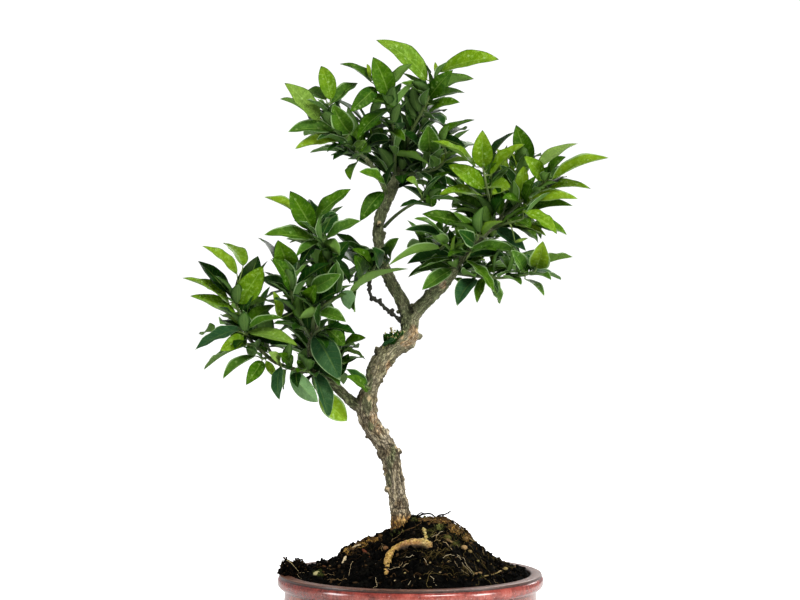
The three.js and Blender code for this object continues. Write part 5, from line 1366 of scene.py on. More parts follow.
def soil_material():
    kit = Shader("soil")
    spot = kit.places()
    grit, dust = kit.noise(spot, 1.1, 6, 0.7), kit.noise(spot, 0.25, 4)
    # Painted shade: the soil is darker in the hollows between clods and lighter on their tops
    shade = (grit * 0.8 + kit.attribute("relief") * 0.5 - 0.3).clamped()
    peat = kit.ramp(shade, [(0.2, 1, 1, 1), (0.5, 4, 4, 3), (0.78, 18, 16, 10), (1.0, 66, 54, 34)])
    fibre = kit.ramp(grit, [(0.38, 14, 9, 4), (0.48, 92, 62, 22), (0.6, 204, 164, 88)])
    colour = kit.mix((kit.attribute("tan") * 1.3 + (dust - 0.75)).clamped(), peat, fibre)
    moss = kit.ramp(grit, [(0.36, 10, 13, 5), (0.52, 44, 50, 20), (0.7, 112, 116, 58)])
    colour = kit.mix((kit.attribute("green") + (grit - 0.65)).clamped(), colour, moss)
    return kit.finish(Base_Color=colour, Roughness=0.95, Normal=kit.bump(grit, 0.9, 1.0),
                      Specular_IOR_Level=0.04)


soil_look = soil_material()
piece("soil_mound", soil_sheet, [soil_look], "soil")

# %% [markdown]
# ## Crumbs, bark bits, pebbles and moss
# Everything loose is one of a few small forms set down many times, such as a knobby grain of twenty faces. A
# seeded generator draws their places and turns, so each run gives the same heap. The few that stand out in
# the photo are placed at their own picture points.

# %% Scatter the loose pieces
dice = np.random.default_rng(20)
GRAIN_RISE = 0.25
golden = (1 + 5**0.5) / 2
corners = [np.roll((a, b * golden, 0), k) for k in range(3) for a in (-1, 1) for b in (-1, 1)]
grain_places = unit(np.array(corners, float))
near = np.linalg.norm(grain_places[:, None] - grain_places[None], axis=2) < 1.2
trios = np.argwhere(near[:, :, None] & near[None] & near[:, None])
trios = trios[(np.diff(trios, axis=1) > 0).all(1)]
a, b, c = grain_places[trios].transpose(1, 0, 2)
facing = np.einsum("nk,nk->n", a, np.cross(b - a, c - a)) < 0
trios[facing] = trios[facing][:, [0, 2, 1]]
grain_faces = np.pad(trios, ((0, 0), (0, 1)), constant_values=-1)


def turns(count):
    """Random rotations: each from three random directions made square to each other."""
    a = unit(dice.normal(size=(count, 3)))
    b = unit(np.cross(a, dice.normal(size=(count, 3))))
    return np.stack([a, b, np.cross(a, b)], 1)


def grains(centres, sizes, shape, rough, **values):
    """Knobby grains: the twelve-cornered form, each corner drawn in or out, stretched, turned and placed."""
    count = len(centres)
    knobs = grain_places[None] * (1 + rough * dice.uniform(-1, 1, (count, 12, 1)))
    knobs = knobs * np.array(shape) * np.asarray(sizes)[:, None, None]
    knobs = np.einsum("nki,nij->nkj", knobs, turns(count)) + centres[:, None]
    faces = grain_faces + 12 * np.arange(count)[:, None, None]
    faces[..., 3] = -1
    return Shape(knobs, faces, **{key: np.repeat(v, 12) for key, v in values.items()})


def scattered(count, reach=83.5):
    """Even random places over the mound."""
    radius, turn = reach * dice.uniform(0, 1, count) ** 0.5, dice.uniform(0, 2 * np.pi, count)
    return ground(radius * np.cos(turn), radius * np.sin(turn))


def noted(rows):
    """Rows of picture points as places on the mound, with the numbers that follow them."""
    rows = np.array(rows, float)
    return on_soil(rows[:, 0], rows[:, 1]), rows[:, 2:].T


CRUMBS, FLAKES, STICKS = 5200, 700, 150
# Pebbles that stand out: across, down, radius in mm, tone from dark to pale, how green, how red
STONES = table("""
    464 551 2.2 0.74 0 0.25, 470 554.5 1.5 0.62 0.2 0, 385.5 550 1.9 0.6 0 0.6, 317 574.5 2.9 0.9 0.5 0,
    447.5 538 2.4 0.5 0.65 0, 454.5 545 1.6 0.42 0.75 0, 505.5 571 1.5 0.75 0.3 0, 353 566.5 1.2 0.5 0 0.3,
    405 574 0.8 0.75 0.3 0, 448 563 1.0 0.6 0.1 0, 330 568 0.9 0.6 0 0, 492 568 1.0 0.8 0.4 0,
    420 579 0.8 0.75 0.3 0, 300 575 0.9 0.5 0 0, 478 563 1.0 0.7 0.5 0, 440 573 0.8 0.8 0 0,
    430 567 0.8 0.7 0.2 0, 395 582 0.8 0.8 0.1 0""")
# Bits of bark that stand out: the two ends in picture points, the thickness in mm, tone, how red
BARK_BITS = table("""
    362.5 550.5 370 558.5 2.4 0.42 1, 346 557.5 342.5 565 2.1 0.9 0.1, 338 563 332 566 1.4 0.6 0,
    352 549 361 545.5 1.6 0.85 0, 326 568 320 566.5 1.3 0.5 0.4, 374 543 366 546 1.4 0.35 0,
    474 575.5 482 574 2.2 0.6 0, 498 573.5 503 571 1.3 0.8 0.2, 446 540 452 544 1.8 0.62 0""")

def chipped(turn, i):
    """Three flutes that start elsewhere at every row, so a bit of bark has broken sides."""
    return 1 + 0.18 * np.sin(3 * turn + i)


rest_points, (stone_sizes, *stone_looks) = noted(STONES)
rest_points = ground(*rest_points[:, :2].T) + 0.45 * stone_sizes[:, None] * [0, 0, 1]


def off_stones(spots):
    """Those of the places that don't lie in front of or under a noted pebble."""
    away = np.linalg.norm(point_of(spots)[:, None] - point_of(rest_points)[None], axis=2)
    return spots[(away > (stone_sizes + 0.8) / POINT_SIZE).all(1)]


spots = off_stones(scattered(CRUMBS))
sizes = 0.4 + 1.9 * dice.uniform(0, 1, len(spots)) ** 3
tones = np.clip(dice.normal(0.05, 0.08, len(spots)) + 0.4 * stain(spots, "tan"), 0, 1)
greens = np.clip(stain(spots, "green") * dice.uniform(0, 1.3, len(spots)), 0, 1)
crumbs = grains(spots + [0, 0, GRAIN_RISE], sizes, (1, 0.7, 0.6), 0.34, tone=tones, green=greens)
spots = off_stones(scattered(FLAKES))
flakes = grains(spots + [0, 0, 0.5], 0.9 + 2.2 * dice.uniform(0, 1, len(spots)) ** 2, (1, 0.55, 0.16), 0.2,
                tone=np.clip(dice.normal(0.16, 0.14, len(spots)), 0.02, 0.7), green=np.zeros(len(spots)))
stones = []
for spot, size, tone, green, red in zip(rest_points, stone_sizes, *stone_looks):
    pebble = ball(spot, size * np.array([1, 0.85, 0.8]), 8, 12)
    pebble.places += (pebble.places - spot) * 0.12 * noise(pebble.places / 1.5, 91)[:, None]
    pebble.values = {key: np.full(len(pebble.places), value)
                     for key, value in (("tone", tone), ("green", green), ("red", red))}
    stones.append(pebble)
for row in BARK_BITS:
    ends = on_soil(np.array(row[0:4:2]), np.array(row[1:4:2]), 0.9)
    run = ends[0] + (ends[1] - ends[0]) * np.linspace(0, 1, 6)[:, None]
    radii = row[4] / 2 * np.array([0.45, 0.9, 1, 0.85, 0.95, 0.4])
    stones.append(tube(run, radii, 7, chipped, tone=row[5], red=row[6]))
stones = stacked(stones)


def loose_material():
    kit = Shader("loose bits")
    spot = kit.places()
    grit = kit.noise(spot, 1.8, 5, 0.65)
    shade = (kit.attribute("tone") + (grit - 0.5) * 0.35).clamped()
    colour = kit.ramp(shade, [
        (0.0, 1, 1, 1), (0.2, 12, 9, 6), (0.5, 88, 66, 40), (0.75, 156, 130, 88), (1.0, 224, 208, 170)])
    moss = kit.ramp(shade, [(0.1, 13, 17, 6), (0.5, 66, 76, 30), (1.0, 150, 160, 82)])
    colour = kit.mix(kit.attribute("green") * 0.9, colour, moss)
    colour = kit.mix(kit.attribute("red") * 0.6, colour, rgb(112, 52, 34))
    return kit.finish(Base_Color=colour, Roughness=0.85, Normal=kit.bump(grit, 0.5, 0.8),
                      Specular_IOR_Level=0.03)


# A heap of soil that lies over the rim on the left: centre and half sizes in mm, its height, its grains
RIM_HEIGHT = 72
HEAP_CENTRE, HEAP_SIZE, HEAP_HEIGHT, HEAP_GRAINS = np.array([-84.0, -6.0]), np.array([11.0, 16.0]), 9.0, 1500
turn, reach = dice.uniform(0, 2 * np.pi, HEAP_GRAINS), dice.uniform(0, 1, HEAP_GRAINS) ** 0.5
flat = HEAP_CENTRE + HEAP_SIZE * reach[:, None] * np.stack([np.cos(turn), np.sin(turn)], -1)
rest = np.where(np.linalg.norm(flat, axis=1) > 86, RIM_HEIGHT, soil_height(*flat.T))
lump = np.clip(0.8 + 0.7 * noise(np.concatenate([flat, 0 * flat[:, :1]], 1) / 4.5, 77), 0.25, 1.5)
rise = dice.uniform(0, 1, HEAP_GRAINS) * HEAP_HEIGHT * (1 - reach**5) * lump
spots = np.concatenate([flat, (rest + 0.5 + rise)[:, None]], 1)
heap = grains(spots, 0.4 + 1.0 * dice.uniform(0, 1, HEAP_GRAINS) ** 2, (1, 0.7, 0.6), 0.34,
              tone=np.clip(dice.normal(0.1, 0.12, HEAP_GRAINS), 0, 1), green=np.zeros(HEAP_GRAINS))

loose_look = loose_material()
piece("soil_crumbs", stacked([crumbs, flakes, heap]), [loose_look])
piece("soil_stones", stones, [loose_look])
print("loose pieces:", CRUMBS + FLAKES + HEAP_GRAINS + len(STONES))

# %% [markdown]
# ## Sticks, root hairs and moss tufts
# Thin things catch light and tell the eye how small the tree is. Each is a real tube or blade, because
# shading alone would vanish from the side. The pale root hairs wander over the mound, the sticks are dead
# twigs, and moss is a felt of tiny upright blades.

# %% Fine growth on the soil
# Rows of picture points; then the thickness in mm, the lift off the soil, and the tone
LINES = [
    ([(413.5, 518.5), (417, 515.8), (420.8, 513.2), (424, 514)], 1.3, 0.3, 0.16),
    ([(417, 519), (420, 516), (423.2, 514.6), (430.4, 514.2), (435.2, 517.4), (438, 519)], 1.6, 0.3, 0.16),
    ([(436.5, 518), (439.2, 515.6), (444.8, 514.8), (448, 513.2), (450.6, 511.4)], 1.5, 0.3, 0.18),
    ([(418, 520.6), (427, 519.6), (435, 519.2), (442, 519.6), (449, 522)], 1.2, 1.0, 0.42),
    ([(419, 523.6), (428, 522.2), (434.4, 521.8), (442, 522.4), (451, 524)], 1.4, 1.2, 0.5),
    ([(427, 525.6), (437, 524.2), (446, 524.6), (453, 527)], 0.9, 1.2, 0.45),
    ([(448, 520.5), (455, 523.5), (461, 528), (467, 534), (472, 539.5)], 1.3, 0.9, 0.4),
    ([(404, 562), (407, 559.6), (410, 559), (414, 557.5)], 0.26, 1.4, 0.95),
    ([(392, 569), (396, 569.4), (399, 568.6), (402, 566), (403, 563)], 0.22, 1.4, 0.8),
    ([(423.6, 560), (426, 563), (426.4, 566), (428, 569)], 0.26, 1.4, 0.95),
    ([(443, 560.5), (447, 557.5), (455, 558), (460, 562), (462, 566), (466.6, 570), (472, 576)],
     0.26, 1.6, 0.95),
    ([(457, 558.4), (463, 562.6), (467, 568), (471, 572), (474, 577)], 0.24, 1.6, 0.95),
    ([(448, 562), (454, 565.4), (458, 570), (463, 573), (469, 577)], 0.2, 1.4, 0.85),
    ([(437, 536), (436, 541), (434, 545), (438, 549), (437, 553)], 0.3, 1.4, 0.75),
    ([(430.4, 578), (433.4, 581.4), (434, 585), (437, 588)], 0.26, 1.4, 0.95),
    ([(408, 587), (411, 584), (414, 581.6), (415, 578)], 0.24, 1.4, 0.9),
    ([(484, 578), (494, 576), (503, 572), (508, 570)], 0.8, 1.3, 0.7),
    ([(352, 548), (362, 543), (374, 541)], 0.6, 1.2, 0.5),
    ([(402, 534), (410, 530), (421, 527)], 0.9, 0.9, 0.45),
    ([(436, 541), (446, 545), (452, 553)], 0.5, 1.1, 0.8),
    ([(470, 540), (480, 548), (484, 556)], 0.45, 1.1, 0.8),
]
HAIR_COUNT, HAIR_STEPS = 80, 12
CLOD_CLEAR = 0.5
# The one straw among the lines is known by its tone and gets a touch of green
STRAW_TONE, GREEN_STRAW = 0.7, 0.25
# Where the roots are matted on the right slope: across, down, half sizes in points, hairs
MATTED = (458, 548, 42, 28, 170)
# Hairs that stand out of the heap on the rim: how many, and their length in mm
HEAP_HAIRS, HEAP_REACH = 70, (2.5, 7)
# Moss: across, down, half sizes in points, blades, how much brighter
TUFTS = [(441, 527, 6, 2.6, 340, 0.4), (450, 537, 6, 3, 160, 0.1), (455, 543, 3, 3, 60, 0.1),
         (424, 521, 9, 2, 120, 0.0), (478, 575, 4, 2, 50, 0.2), (399, 532, 7, 2, 120, 0.2),
         (421, 534, 2.5, 3, 30, 0.2), (447, 536, 3, 2, 60, 0.3)]
# Hairs that stand up in the air: their picture points, depth behind the pot's axis, thickness in mm, tone
GRASS = [([(499, 561), (499.5, 555), (500.5, 549)], 0, 0.5, 0.45),
         ([(490, 562), (488.5, 557), (488, 553)], -6, 0.45, 0.45),
         ([(285, 560.5), (277, 560.5), (270, 565.5), (265.5, 573)], -6, 0.5, 0.5),
         ([(283, 565), (277, 566), (271, 572)], -12, 0.4, 0.4),
         ([(286.5, 560), (290, 562), (294, 566), (298.5, 571.5)], -20, 0.45, 0.85),
         ([(330, 559), (334, 556), (339, 555.5)], 10, 0.35, 0.4),
         ([(448, 516), (449, 513), (452, 511)], 0, 0.4, 0.3)]

lines = []
for points, thick, lift, tone in LINES:
    path = smooth_rows(on_soil(*np.array(points, float).T, lift), 5)
    path[:, 2] = np.maximum(path[:, 2], ground(*path[:, :2].T)[:, 2] + CLOD_CLEAR)
    radii = np.linspace(1, 0.6, len(path)) * thick / 2
    lines.append(tube(path, radii, 6, tone=tone, green=GREEN_STRAW if tone == STRAW_TONE else 0.0))
for points, depth, thick, tone in GRASS:
    rise = smooth_rows(seen(*np.array(points, float).T, depth), 4)
    lines.append(tube(rise, np.linspace(thick / 2, 0.1, len(rise)), 5, tone=tone, green=0.3))
turn, reach = dice.uniform(0, 2 * np.pi, MATTED[4]), dice.uniform(0, 1, MATTED[4]) ** 0.5
matted = on_soil(MATTED[0] + MATTED[2] * reach * np.cos(turn), MATTED[1] + MATTED[3] * reach * np.sin(turn))
starts = np.concatenate([scattered(STICKS + HAIR_COUNT, 78), matted])
for k, start in enumerate(starts):
    hair = k >= STICKS
    steps = HAIR_STEPS if hair else 4
    heading = dice.uniform(0, 2 * np.pi)
    bends = heading + np.cumsum(dice.normal(0, 0.26 if hair else 0.12, steps))
    stride = dice.uniform(0.8, 2.6) if hair else dice.uniform(0.9, 2.4)
    flat = start[:2] + stride * np.cumsum(np.stack([np.cos(bends), np.sin(bends)], -1), 0)
    flat *= np.minimum(1, 83 / np.maximum(np.linalg.norm(flat, axis=1), 1))[:, None]
    path = ground(*flat.T)
    path[:, 2] = soil_height(*flat.T) + 0.6 + 1.3 * dice.uniform(0, 1, steps)
    path[[0, -1], 2] -= 1.6
    thick = dice.uniform(0.06, 0.13) if hair else dice.uniform(0.2, 0.42)
    mat = k >= STICKS + HAIR_COUNT
    tone = dice.uniform(*((0.08, 0.66) if mat else (0.25, 0.95) if hair else (0.05, 0.4)))
    lines.append(tube(smooth_rows(path, 2), thick, 5, tone=tone, green=0.35 * mat))
for _ in range(HEAP_HAIRS):
    foot = np.append(HEAP_CENTRE, 76) + dice.uniform(-1, 1, 3) * [5, 12, 2]
    heading = unit(dice.normal(0, 0.6, 3) + [-0.5, -0.2, 0.6])
    reach = dice.uniform(*HEAP_REACH)
    bend = foot + heading * reach * 0.6 + dice.normal(0, 1.0, 3)
    hair = smooth_rows([foot, bend, foot + heading * reach + [-0.12 * reach, 0, -0.2 * reach]], 4)
    lines.append(tube(hair, np.linspace(0.24, 0.1, len(hair)), 4, tone=dice.uniform(0.0, 0.2)))
piece("soil_sticks", stacked(lines), [loose_look])

felt = []
for across, down, wide, high, count, glow in TUFTS:
    turn, reach = dice.uniform(0, 2 * np.pi, count), dice.uniform(0, 1, count) ** 0.5
    foot = on_soil(across + wide * reach * np.cos(turn), down + high * reach * np.sin(turn))
    lean = unit(dice.normal(0, 0.5, (count, 3)) + [0, -0.15, 1.2])
    size = dice.uniform(0.6, 1.7, count)
    side = unit(np.cross(lean, dice.normal(size=(count, 3)))) * 0.15
    deep = np.cross(lean, side)
    base = foot + lean * -0.5
    corners = np.stack([base + side, base - 0.5 * side + deep, base - 0.5 * side - deep,
                        foot + lean * size[:, None]], 1)
    faces = np.array([(0, 1, 3, -1), (1, 2, 3, -1), (2, 0, 3, -1), (0, 2, 1, -1)])
    faces = faces + 4 * np.arange(count)[:, None, None]
    faces[..., 3] = -1
    felt.append(Shape(corners, faces, tone=np.repeat(glow + dice.uniform(0.15, 0.6, count), 4), green=1.0))
piece("moss", stacked(felt), [loose_look])
print("moss blades:", sum(row[4] for row in TUFTS))

# %% [markdown]
# ## Buds on the trunk
# Where the trunk bends, sleeping buds have broken into a tuft of tiny leaves with pale, knobby tips, their
# paleness partly a painted highlight. The leaves come from the same blade grids as the large ones, only a few
# millimetres long, and the tips are heaps of grains round the points where the photo shows them.

# %% Bud tuft
BUD_HEART = seen(392, 342, -10)
BUD_LEAVES = 20
# Pale tips, partly painted highlights: across, down, depth, half size in mm
BUD_TIPS = np.array(table("""
    390.7 328.2 -12 1.2, 391.8 331.8 -14 1.4, 392.6 336.4 -16 1.1, 385.6 333.6 -12 1.3, 395 332 -11 1.5,
    401 332.5 -11 1.4, 404 332 -11 1.3, 397.5 334.5 -14 1, 388 337 -15 1, 395.4 338 -16 0.9,
    383.4 347.5 -15 0.7, 402.5 335 -12 0.9"""))
TIP_GRAINS = 12

tuft_leaves = []
for k in range(BUD_LEAVES):
    heading = unit(np.array([1.9 * (draw(70, k) - 0.5), -0.7 * draw(71, k), 0.35 + 0.8 * draw(72, k)]))
    base = BUD_HEART + np.array([8 * (draw(73, k) - 0.5), -2.5 * draw(74, k), 5 * (draw(73, k) - 0.4)])
    length = 4.6 + 4.0 * draw(75, k)
    up = np.array([2.2 * (draw(76, k) - 0.5), -1.0, 1.4 * (draw(77, k) - 0.3)])
    tuft_leaves.append(grown(base, base, heading, length, up, "dk"[k % 2], BUD_SEED + k, slim=0.46))
# One waxy leaf lies along the trunk under the tuft; its grey-green is partly painted sheen
base, tip = seen(382.5, 345.5, -14), seen(397, 337, -16)
length = np.linalg.norm(tip - base)
up = np.array([-0.3, -1, 0.4])
tuft_leaves.append(grown(base, base, unit(tip - base), length, up, "d", WAX_AND_SHEEN_SEEDS[0], slim=3.4 / length))
piece("bud_leaves", blades(tuft_leaves, FILL_ROWS, FILL_COLUMNS), [leaf_look], mapped=True)
tips = seen(*BUD_TIPS[:, :3].T)
hearts, reach = np.repeat(tips, TIP_GRAINS, 0), np.repeat(BUD_TIPS[:, 3], TIP_GRAINS)
away = unit(dice.normal(size=(len(hearts), 3))) * dice.uniform(0.2, 1, (len(hearts), 1))
# Painted highlight with the buds' own pale colour: the tips' grains take pale tones
buds = grains(hearts + away * reach[:, None], 0.32 * reach + 0.1, (1, 0.8, 0.8), 0.2,
              tone=dice.uniform(0.6, 1.2, len(hearts)), green=dice.uniform(0.2, 0.9, len(hearts)))
stems = [tube(smooth_rows([BUD_HEART + [0, 0, -1], (BUD_HEART + tip) / 2 + [0.4, -0.2, 0], tip], 3), 0.6, 5,
              tone=0.38, green=0.8) for tip in tips]
piece("bud_tips", stacked([buds, *stems]), [loose_look])
print("leaves in the tuft:", BUD_LEAVES, "pale tips:", len(BUD_TIPS))

# %% [markdown]
# ## The pot
# A thrown bowl: a flat unglazed-looking lip, a dark groove, a rounded band, a body that swells and tucks in
# to a cut foot. One profile turned round the axis gives all of it. The corners of the profile are rounded
# by a small curve first, because light on a rounded edge is what makes fired clay look fired.

# %% Turn the pot
POT_SPOKES = 256
# Profiles: distance from the axis, height, and how far a corner is rounded
POT_PROFILE = table("""
    9 10 0.8, 9 5 0.8, 72 5 1.2, 79 9 3, 86 18 5, 90 30 8, 91.6 44 8, 90.2 60.4 0.8, 93 61.3 1.0,
    95.3 63.4 1.7, 95.8 66.4 1.7, 95.2 68.8 1.0, 93.7 70.1 0.3, 94.4 70.6 0.3, 94.2 72 0.7, 86.3 72 1.0,
    86 66 4, 84.6 52 8, 82 36 6, 77 22 6, 68 11.5 4, 60 10 2""")
FOOT_PROFILE = [(61, 5.6, 0.3), (61, 0, 0.8), (71, 0, 0.8), (72, 5.6, 0.3)]
FOOT_GAP, FOOT_TURN, FOOT_COUNT, FOOT_RADIUS = 30, 30, 3, 66


def rounded(profile, steps=5):
    """A closed profile with each corner (radius, height, rounding) replaced by a quadratic curve that starts
    and ends the rounding's length from the corner, at most 0.45 of the way to its neighbour."""
    corners = np.array([row[:2] for row in profile], float)
    limit = np.array([row[2] for row in profile])
    result = []
    for k, corner in enumerate(corners):
        before, after = corners[k - 1] - corner, corners[(k + 1) % len(corners)] - corner
        start = corner + unit(before) * min(limit[k], 0.45 * np.linalg.norm(before))
        end = corner + unit(after) * min(limit[k], 0.45 * np.linalg.norm(after))
        t = np.linspace(0, 1, steps + 1)[:, None]
        result.append(start * (1 - t) ** 2 + 2 * corner * t * (1 - t) + end * t**2)
    return np.concatenate(result)


def turned(profile, start=0.0, end=2 * np.pi):
    """Profile turned round the axis: the whole way, or an arc closed by its two end faces."""
    whole, rings = end - start >= 2 * np.pi, len(profile)
    count = round(POT_SPOKES * (end - start) / (2 * np.pi)) + (0 if whole else 1)
    turn = np.linspace(start, end, count, endpoint=not whole)
    wobble = 1 + 0.0006 * np.sin(2 * turn + 1) + 0.0003 * np.sin(5 * turn)
    x = profile[:, :1] * np.cos(turn) * wobble
    y = profile[:, :1] * np.sin(turn) * wobble
    places = np.stack([x, y, np.broadcast_to(profile[:, 1:], x.shape)], -1).transpose(1, 0, 2)
    faces = [grid_faces(count, rings, closed=True)]
    seam, back = np.arange(rings), (count - 1) * rings
    if whole:
        faces.append(np.stack([back + seam, back + (seam + 1) % rings, (seam + 1) % rings, seam], -1))
    else:
        faces += [fan(0, seam[1:])[:-1], fan(back, back + seam[:0:-1])[:-1]]
    return outward(Shape(places, np.concatenate(faces)))


gap = math.asin(FOOT_GAP / 2 / FOOT_RADIUS)
arcs = [math.radians(FOOT_TURN + 360 / FOOT_COUNT * k) for k in range(FOOT_COUNT)]
foot = [turned(rounded(FOOT_PROFILE, 3), arc + gap, arc + 2 * np.pi / FOOT_COUNT - gap) for arc in arcs]
pot_shape = stacked([turned(rounded(POT_PROFILE)), *foot])

# %% [markdown]
# ## Red glaze
# The glaze is a deep iron red that thins to pinkish white on raised edges, which on the band is partly a
# painted highlight; the groove under the lip and the lip's outer wall are painted dark as shade.
# It has run a little, so its streaks are stretched downwards, and it carries fine pits. The lip is a flat,
# dull brown. All of this depends on height and distance from the axis, which Object coordinates give.

# %% Glaze material
def glaze_material():
    kit = Shader("red glaze")
    offset = tuple((-POT_AXIS / MM).tolist())
    spot = kit.node("ShaderNodeVectorMath", {"operation": "ADD"}, {0: kit.places(), 1: offset})
    x, y, z = kit.axes(spot)
    radius = (x * x + y * y) ** 0.5
    downwards = kit.node("ShaderNodeVectorMath", {"operation": "MULTIPLY"}, {0: spot, 1: (1, 1, 0.3)})
    runs = kit.noise(downwards, 0.22, 5, 0.6)
    mottle = kit.noise(spot, 0.55, 5, 0.65)
    speck = kit.noise(spot, 2.2, 3)
    cloud = kit.noise(spot, 0.035, 2)

    red = kit.ramp((runs * 0.6 + mottle * 0.45 + (cloud - 0.5) * 0.5 - 0.03).clamped(), [
        (0.25, 52, 16, 12), (0.42, 106, 34, 26), (0.58, 144, 56, 45), (0.75, 176, 94, 80),
        (0.92, 210, 156, 142)])
    tan = kit.ramp(mottle, [(0.35, 104, 58, 42), (0.5, 160, 112, 88), (0.68, 190, 156, 130)])
    red = kit.mix(z.between(62, 59) * (runs * 2.4 - 0.75).clamped() * 0.5, red, tan)
    # Pale mottled spots on the band's raised curve: thinning glaze, and partly a painted highlight
    band = z.hump(63, 65, 67, 69)
    break_up = (mottle * 1.6 - 0.5).clamped()
    thin = band * break_up * 0.4 + z.between(8, 5) * 0.4
    colour = kit.mix(thin.clamped(), red, rgb(196, 132, 118))
    neck = z.hump(59.4, 60.2, 61.2, 61.9)
    colour = kit.mix(neck * 0.75, colour, rgb(50, 20, 15))
    clay = kit.ramp((speck * 0.4 + mottle * 0.7).clamped(), [
        (0.3, 38, 20, 12), (0.5, 76, 42, 28), (0.72, 156, 106, 82)])
    lip = z.between(70.4, 70.8)
    inside = radius.between(86.5, 85.6) * z.between(9, 10)
    under = z.between(6.7, 5.3)
    colour = kit.mix(lip, colour, kit.mix((mottle * 1.5 - 0.6).clamped() * 0.5, clay, rgb(104, 56, 44)))
    # Painted shade on the lip's outer wall; the lip's inner edge is made darker as well
    wall = lip * z.between(71.95, 71.5) * radius.between(90.0, 93.0)
    rim_edge = lip * radius.hump(85.9, 86.9, 87.2, 88.2)
    colour = kit.mix((wall + rim_edge * 0.6).clamped() * 0.85, colour, rgb(44, 22, 14))
    # Painted shade: the groove under the lip is made dark
    groove = z.hump(69.6, 70.0, 70.55, 70.85)
    colour = kit.mix(groove * 0.92, colour, rgb(34, 17, 12))
    raw = kit.ramp(mottle, [(0.3, 92, 58, 42), (0.7, 140, 96, 72)])
    bare = inside.math("MAXIMUM", inside, under)
    colour = kit.mix(bare, colour, raw)
    pits = speck.between(0.62, 0.72)
    colour = kit.mix(pits * (1 - bare) * 0.35, colour, rgb(60, 26, 20))
    # White flecks on the band: partly worn glaze, partly painted glints
    chips_and_glints = kit.noise(spot, 0.9, 4, 0.7).between(0.63, 0.67) * (0.3 + band * 0.7) * (1 - bare)
    colour = kit.mix(chips_and_glints * 0.7, colour, rgb(232, 208, 198))
    dull = lip.math("MAXIMUM", lip * 0.32, bare)
    rough = 0.17 + dull * 0.5 + (mottle - 0.5) * 0.12 + groove * 0.2
    normal = kit.bump(mottle * 0.5 + runs * 0.8 + speck * dull - pits * 0.5, 0.22, 0.7)
    return kit.finish(Base_Color=colour, Roughness=rough, Normal=normal, Coat_Roughness=0.14,
                      Coat_Weight=0.44 - dull * 0.42 - lip * 0.16)


piece("glazed_pot", pot_shape, [glaze_material()], "pot", 40)

# %% [markdown]
# ## The drain net
# Its solid already has the right form, so it keeps its own mesh and only gets a moulded plastic finish: a
# dull dark green-black with the faint dimpling of a cheap mould.

# %% Net finish
def net_material():
    kit = Shader("moulded net")
    dimple = kit.noise(kit.places(), 1.2, 2)
    colour = kit.mix(dimple, rgb(30, 36, 32), rgb(46, 52, 46))
    return kit.finish(Base_Color=colour, Roughness=0.6, Normal=kit.bump(dimple, 0.1, 0.5))


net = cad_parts["drainage_net"]
net.data.materials.clear()
net.data.materials.append(net_material())

# %% [markdown]
# ## Floor, light and camera
# The photo is a cut-out look: pure white behind, soft light from all round, a little more from the upper
# right. A bright, even sky does most of that, with one large soft lamp for shape. The lens follows from the
# eye's distance and the size of a picture point there, so the picture frames itself.

# %% Stage
FLOOR_HALF = 12000
SHADE_REACH = (110, 330)
SENSOR = 36.0
PICTURE_WIDTH = 800


def lamp(name, place, target, width, watts, tint):
    """A square area light turned from its place towards a target, both in mm in the pot's frame."""
    light = bpy.data.lights.new(name, "AREA")
    light.size, light.energy, light.color = width * MM, watts, tint
    thing = bpy.data.objects.new(name, light)
    aim = np.array(target, float) - np.array(place, float)
    thing.location = np.array(place, float) * MM + POT_AXIS
    pitch = math.atan2(math.hypot(aim[0], aim[1]), -aim[2])
    thing.rotation_euler = (pitch, 0, math.atan2(-aim[0], aim[1]))
    bpy.context.scene.collection.objects.link(thing)


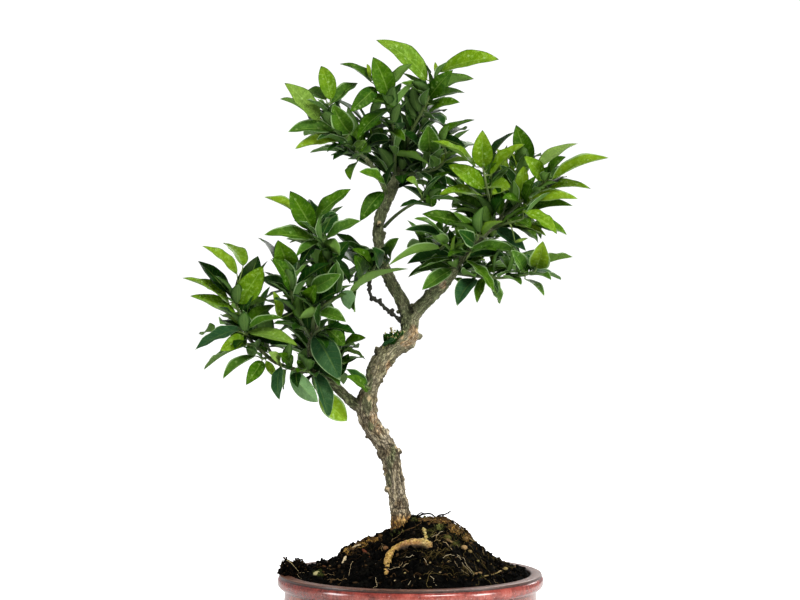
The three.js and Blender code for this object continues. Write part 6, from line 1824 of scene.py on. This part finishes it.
def floor_material():
    kit = Shader("pale floor")
    haze = kit.noise(kit.places(), 0.004, 2)
    colour = kit.mix(haze, rgb(240, 240, 240), rgb(244, 244, 244))
    seen_itself = kit.node("ShaderNodeLightPath", output="Is Camera Ray")
    x, y, _ = kit.axes(kit.places())
    away = ((x * x + y * y) ** 0.5).between(*SHADE_REACH)
    glow = kit.mix(seen_itself * (away * 0.62 + 0.38), (0, 0, 0, 1), (1, 1, 1, 1))
    return kit.finish(Base_Color=colour, Roughness=0.9, Emission_Color=glow, Emission_Strength=0.85)


corners = np.array([(-1, -1, 0), (1, -1, 0), (1, 1, 0), (-1, 1, 0)]) * FLOOR_HALF * MM
floor_mesh = bpy.data.meshes.new("floor")
floor_mesh.from_pydata(corners.tolist(), [], [(0, 1, 2, 3)])
floor_mesh.materials.append(floor_material())
floor = bpy.data.objects.new("floor", floor_mesh)
bpy.context.scene.collection.objects.link(floor)

lamp("key", (700, -1200, 1400), (0, 0, 250), 700, 30, (1.0, 0.99, 0.96))
lamp("right box", (1340, -680, 480), (0, 0, 200), 460, 12, (1.0, 0.99, 0.97))
lamp("left box", (-1370, -610, 480), (0, 0, 200), 460, 10, (0.98, 0.99, 1.0))
lamp("rim", (560, 1300, 1000), (0, 0, 250), 900, 12, (1.0, 1.0, 1.0))

# Towards the camera the sky is pure white, and on the tree it shines less
world = bpy.data.worlds.new("white studio")
world.use_nodes = True
sky = world.node_tree
shown = sky.nodes.new("ShaderNodeLightPath").outputs["Is Camera Ray"]
level = sky.nodes.new("ShaderNodeMapRange")
sky.links.new(shown, level.inputs[0])
level.inputs[3].default_value, level.inputs[4].default_value = 0.4, 1.1
sky.links.new(level.outputs[0], sky.nodes["Background"].inputs["Strength"])
sky.nodes["Background"].inputs["Color"].default_value = (1, 1, 1, 1)
bpy.context.scene.world = world
bpy.context.scene.view_settings.view_transform = "Standard"

eye = bpy.data.cameras.new("eye")
eye.sensor_width = SENSOR
eye.lens = SENSOR * EYE_DISTANCE / (POINT_SIZE * PICTURE_WIDTH)
eye.clip_end = 100
camera = bpy.data.objects.new("eye", eye)
camera.location = np.array([EYE_X, -EYE_DISTANCE, EYE_HEIGHT]) * MM + POT_AXIS
camera.rotation_euler = (math.pi / 2, 0, 0)
bpy.context.scene.collection.objects.link(camera)
bpy.context.scene.camera = camera
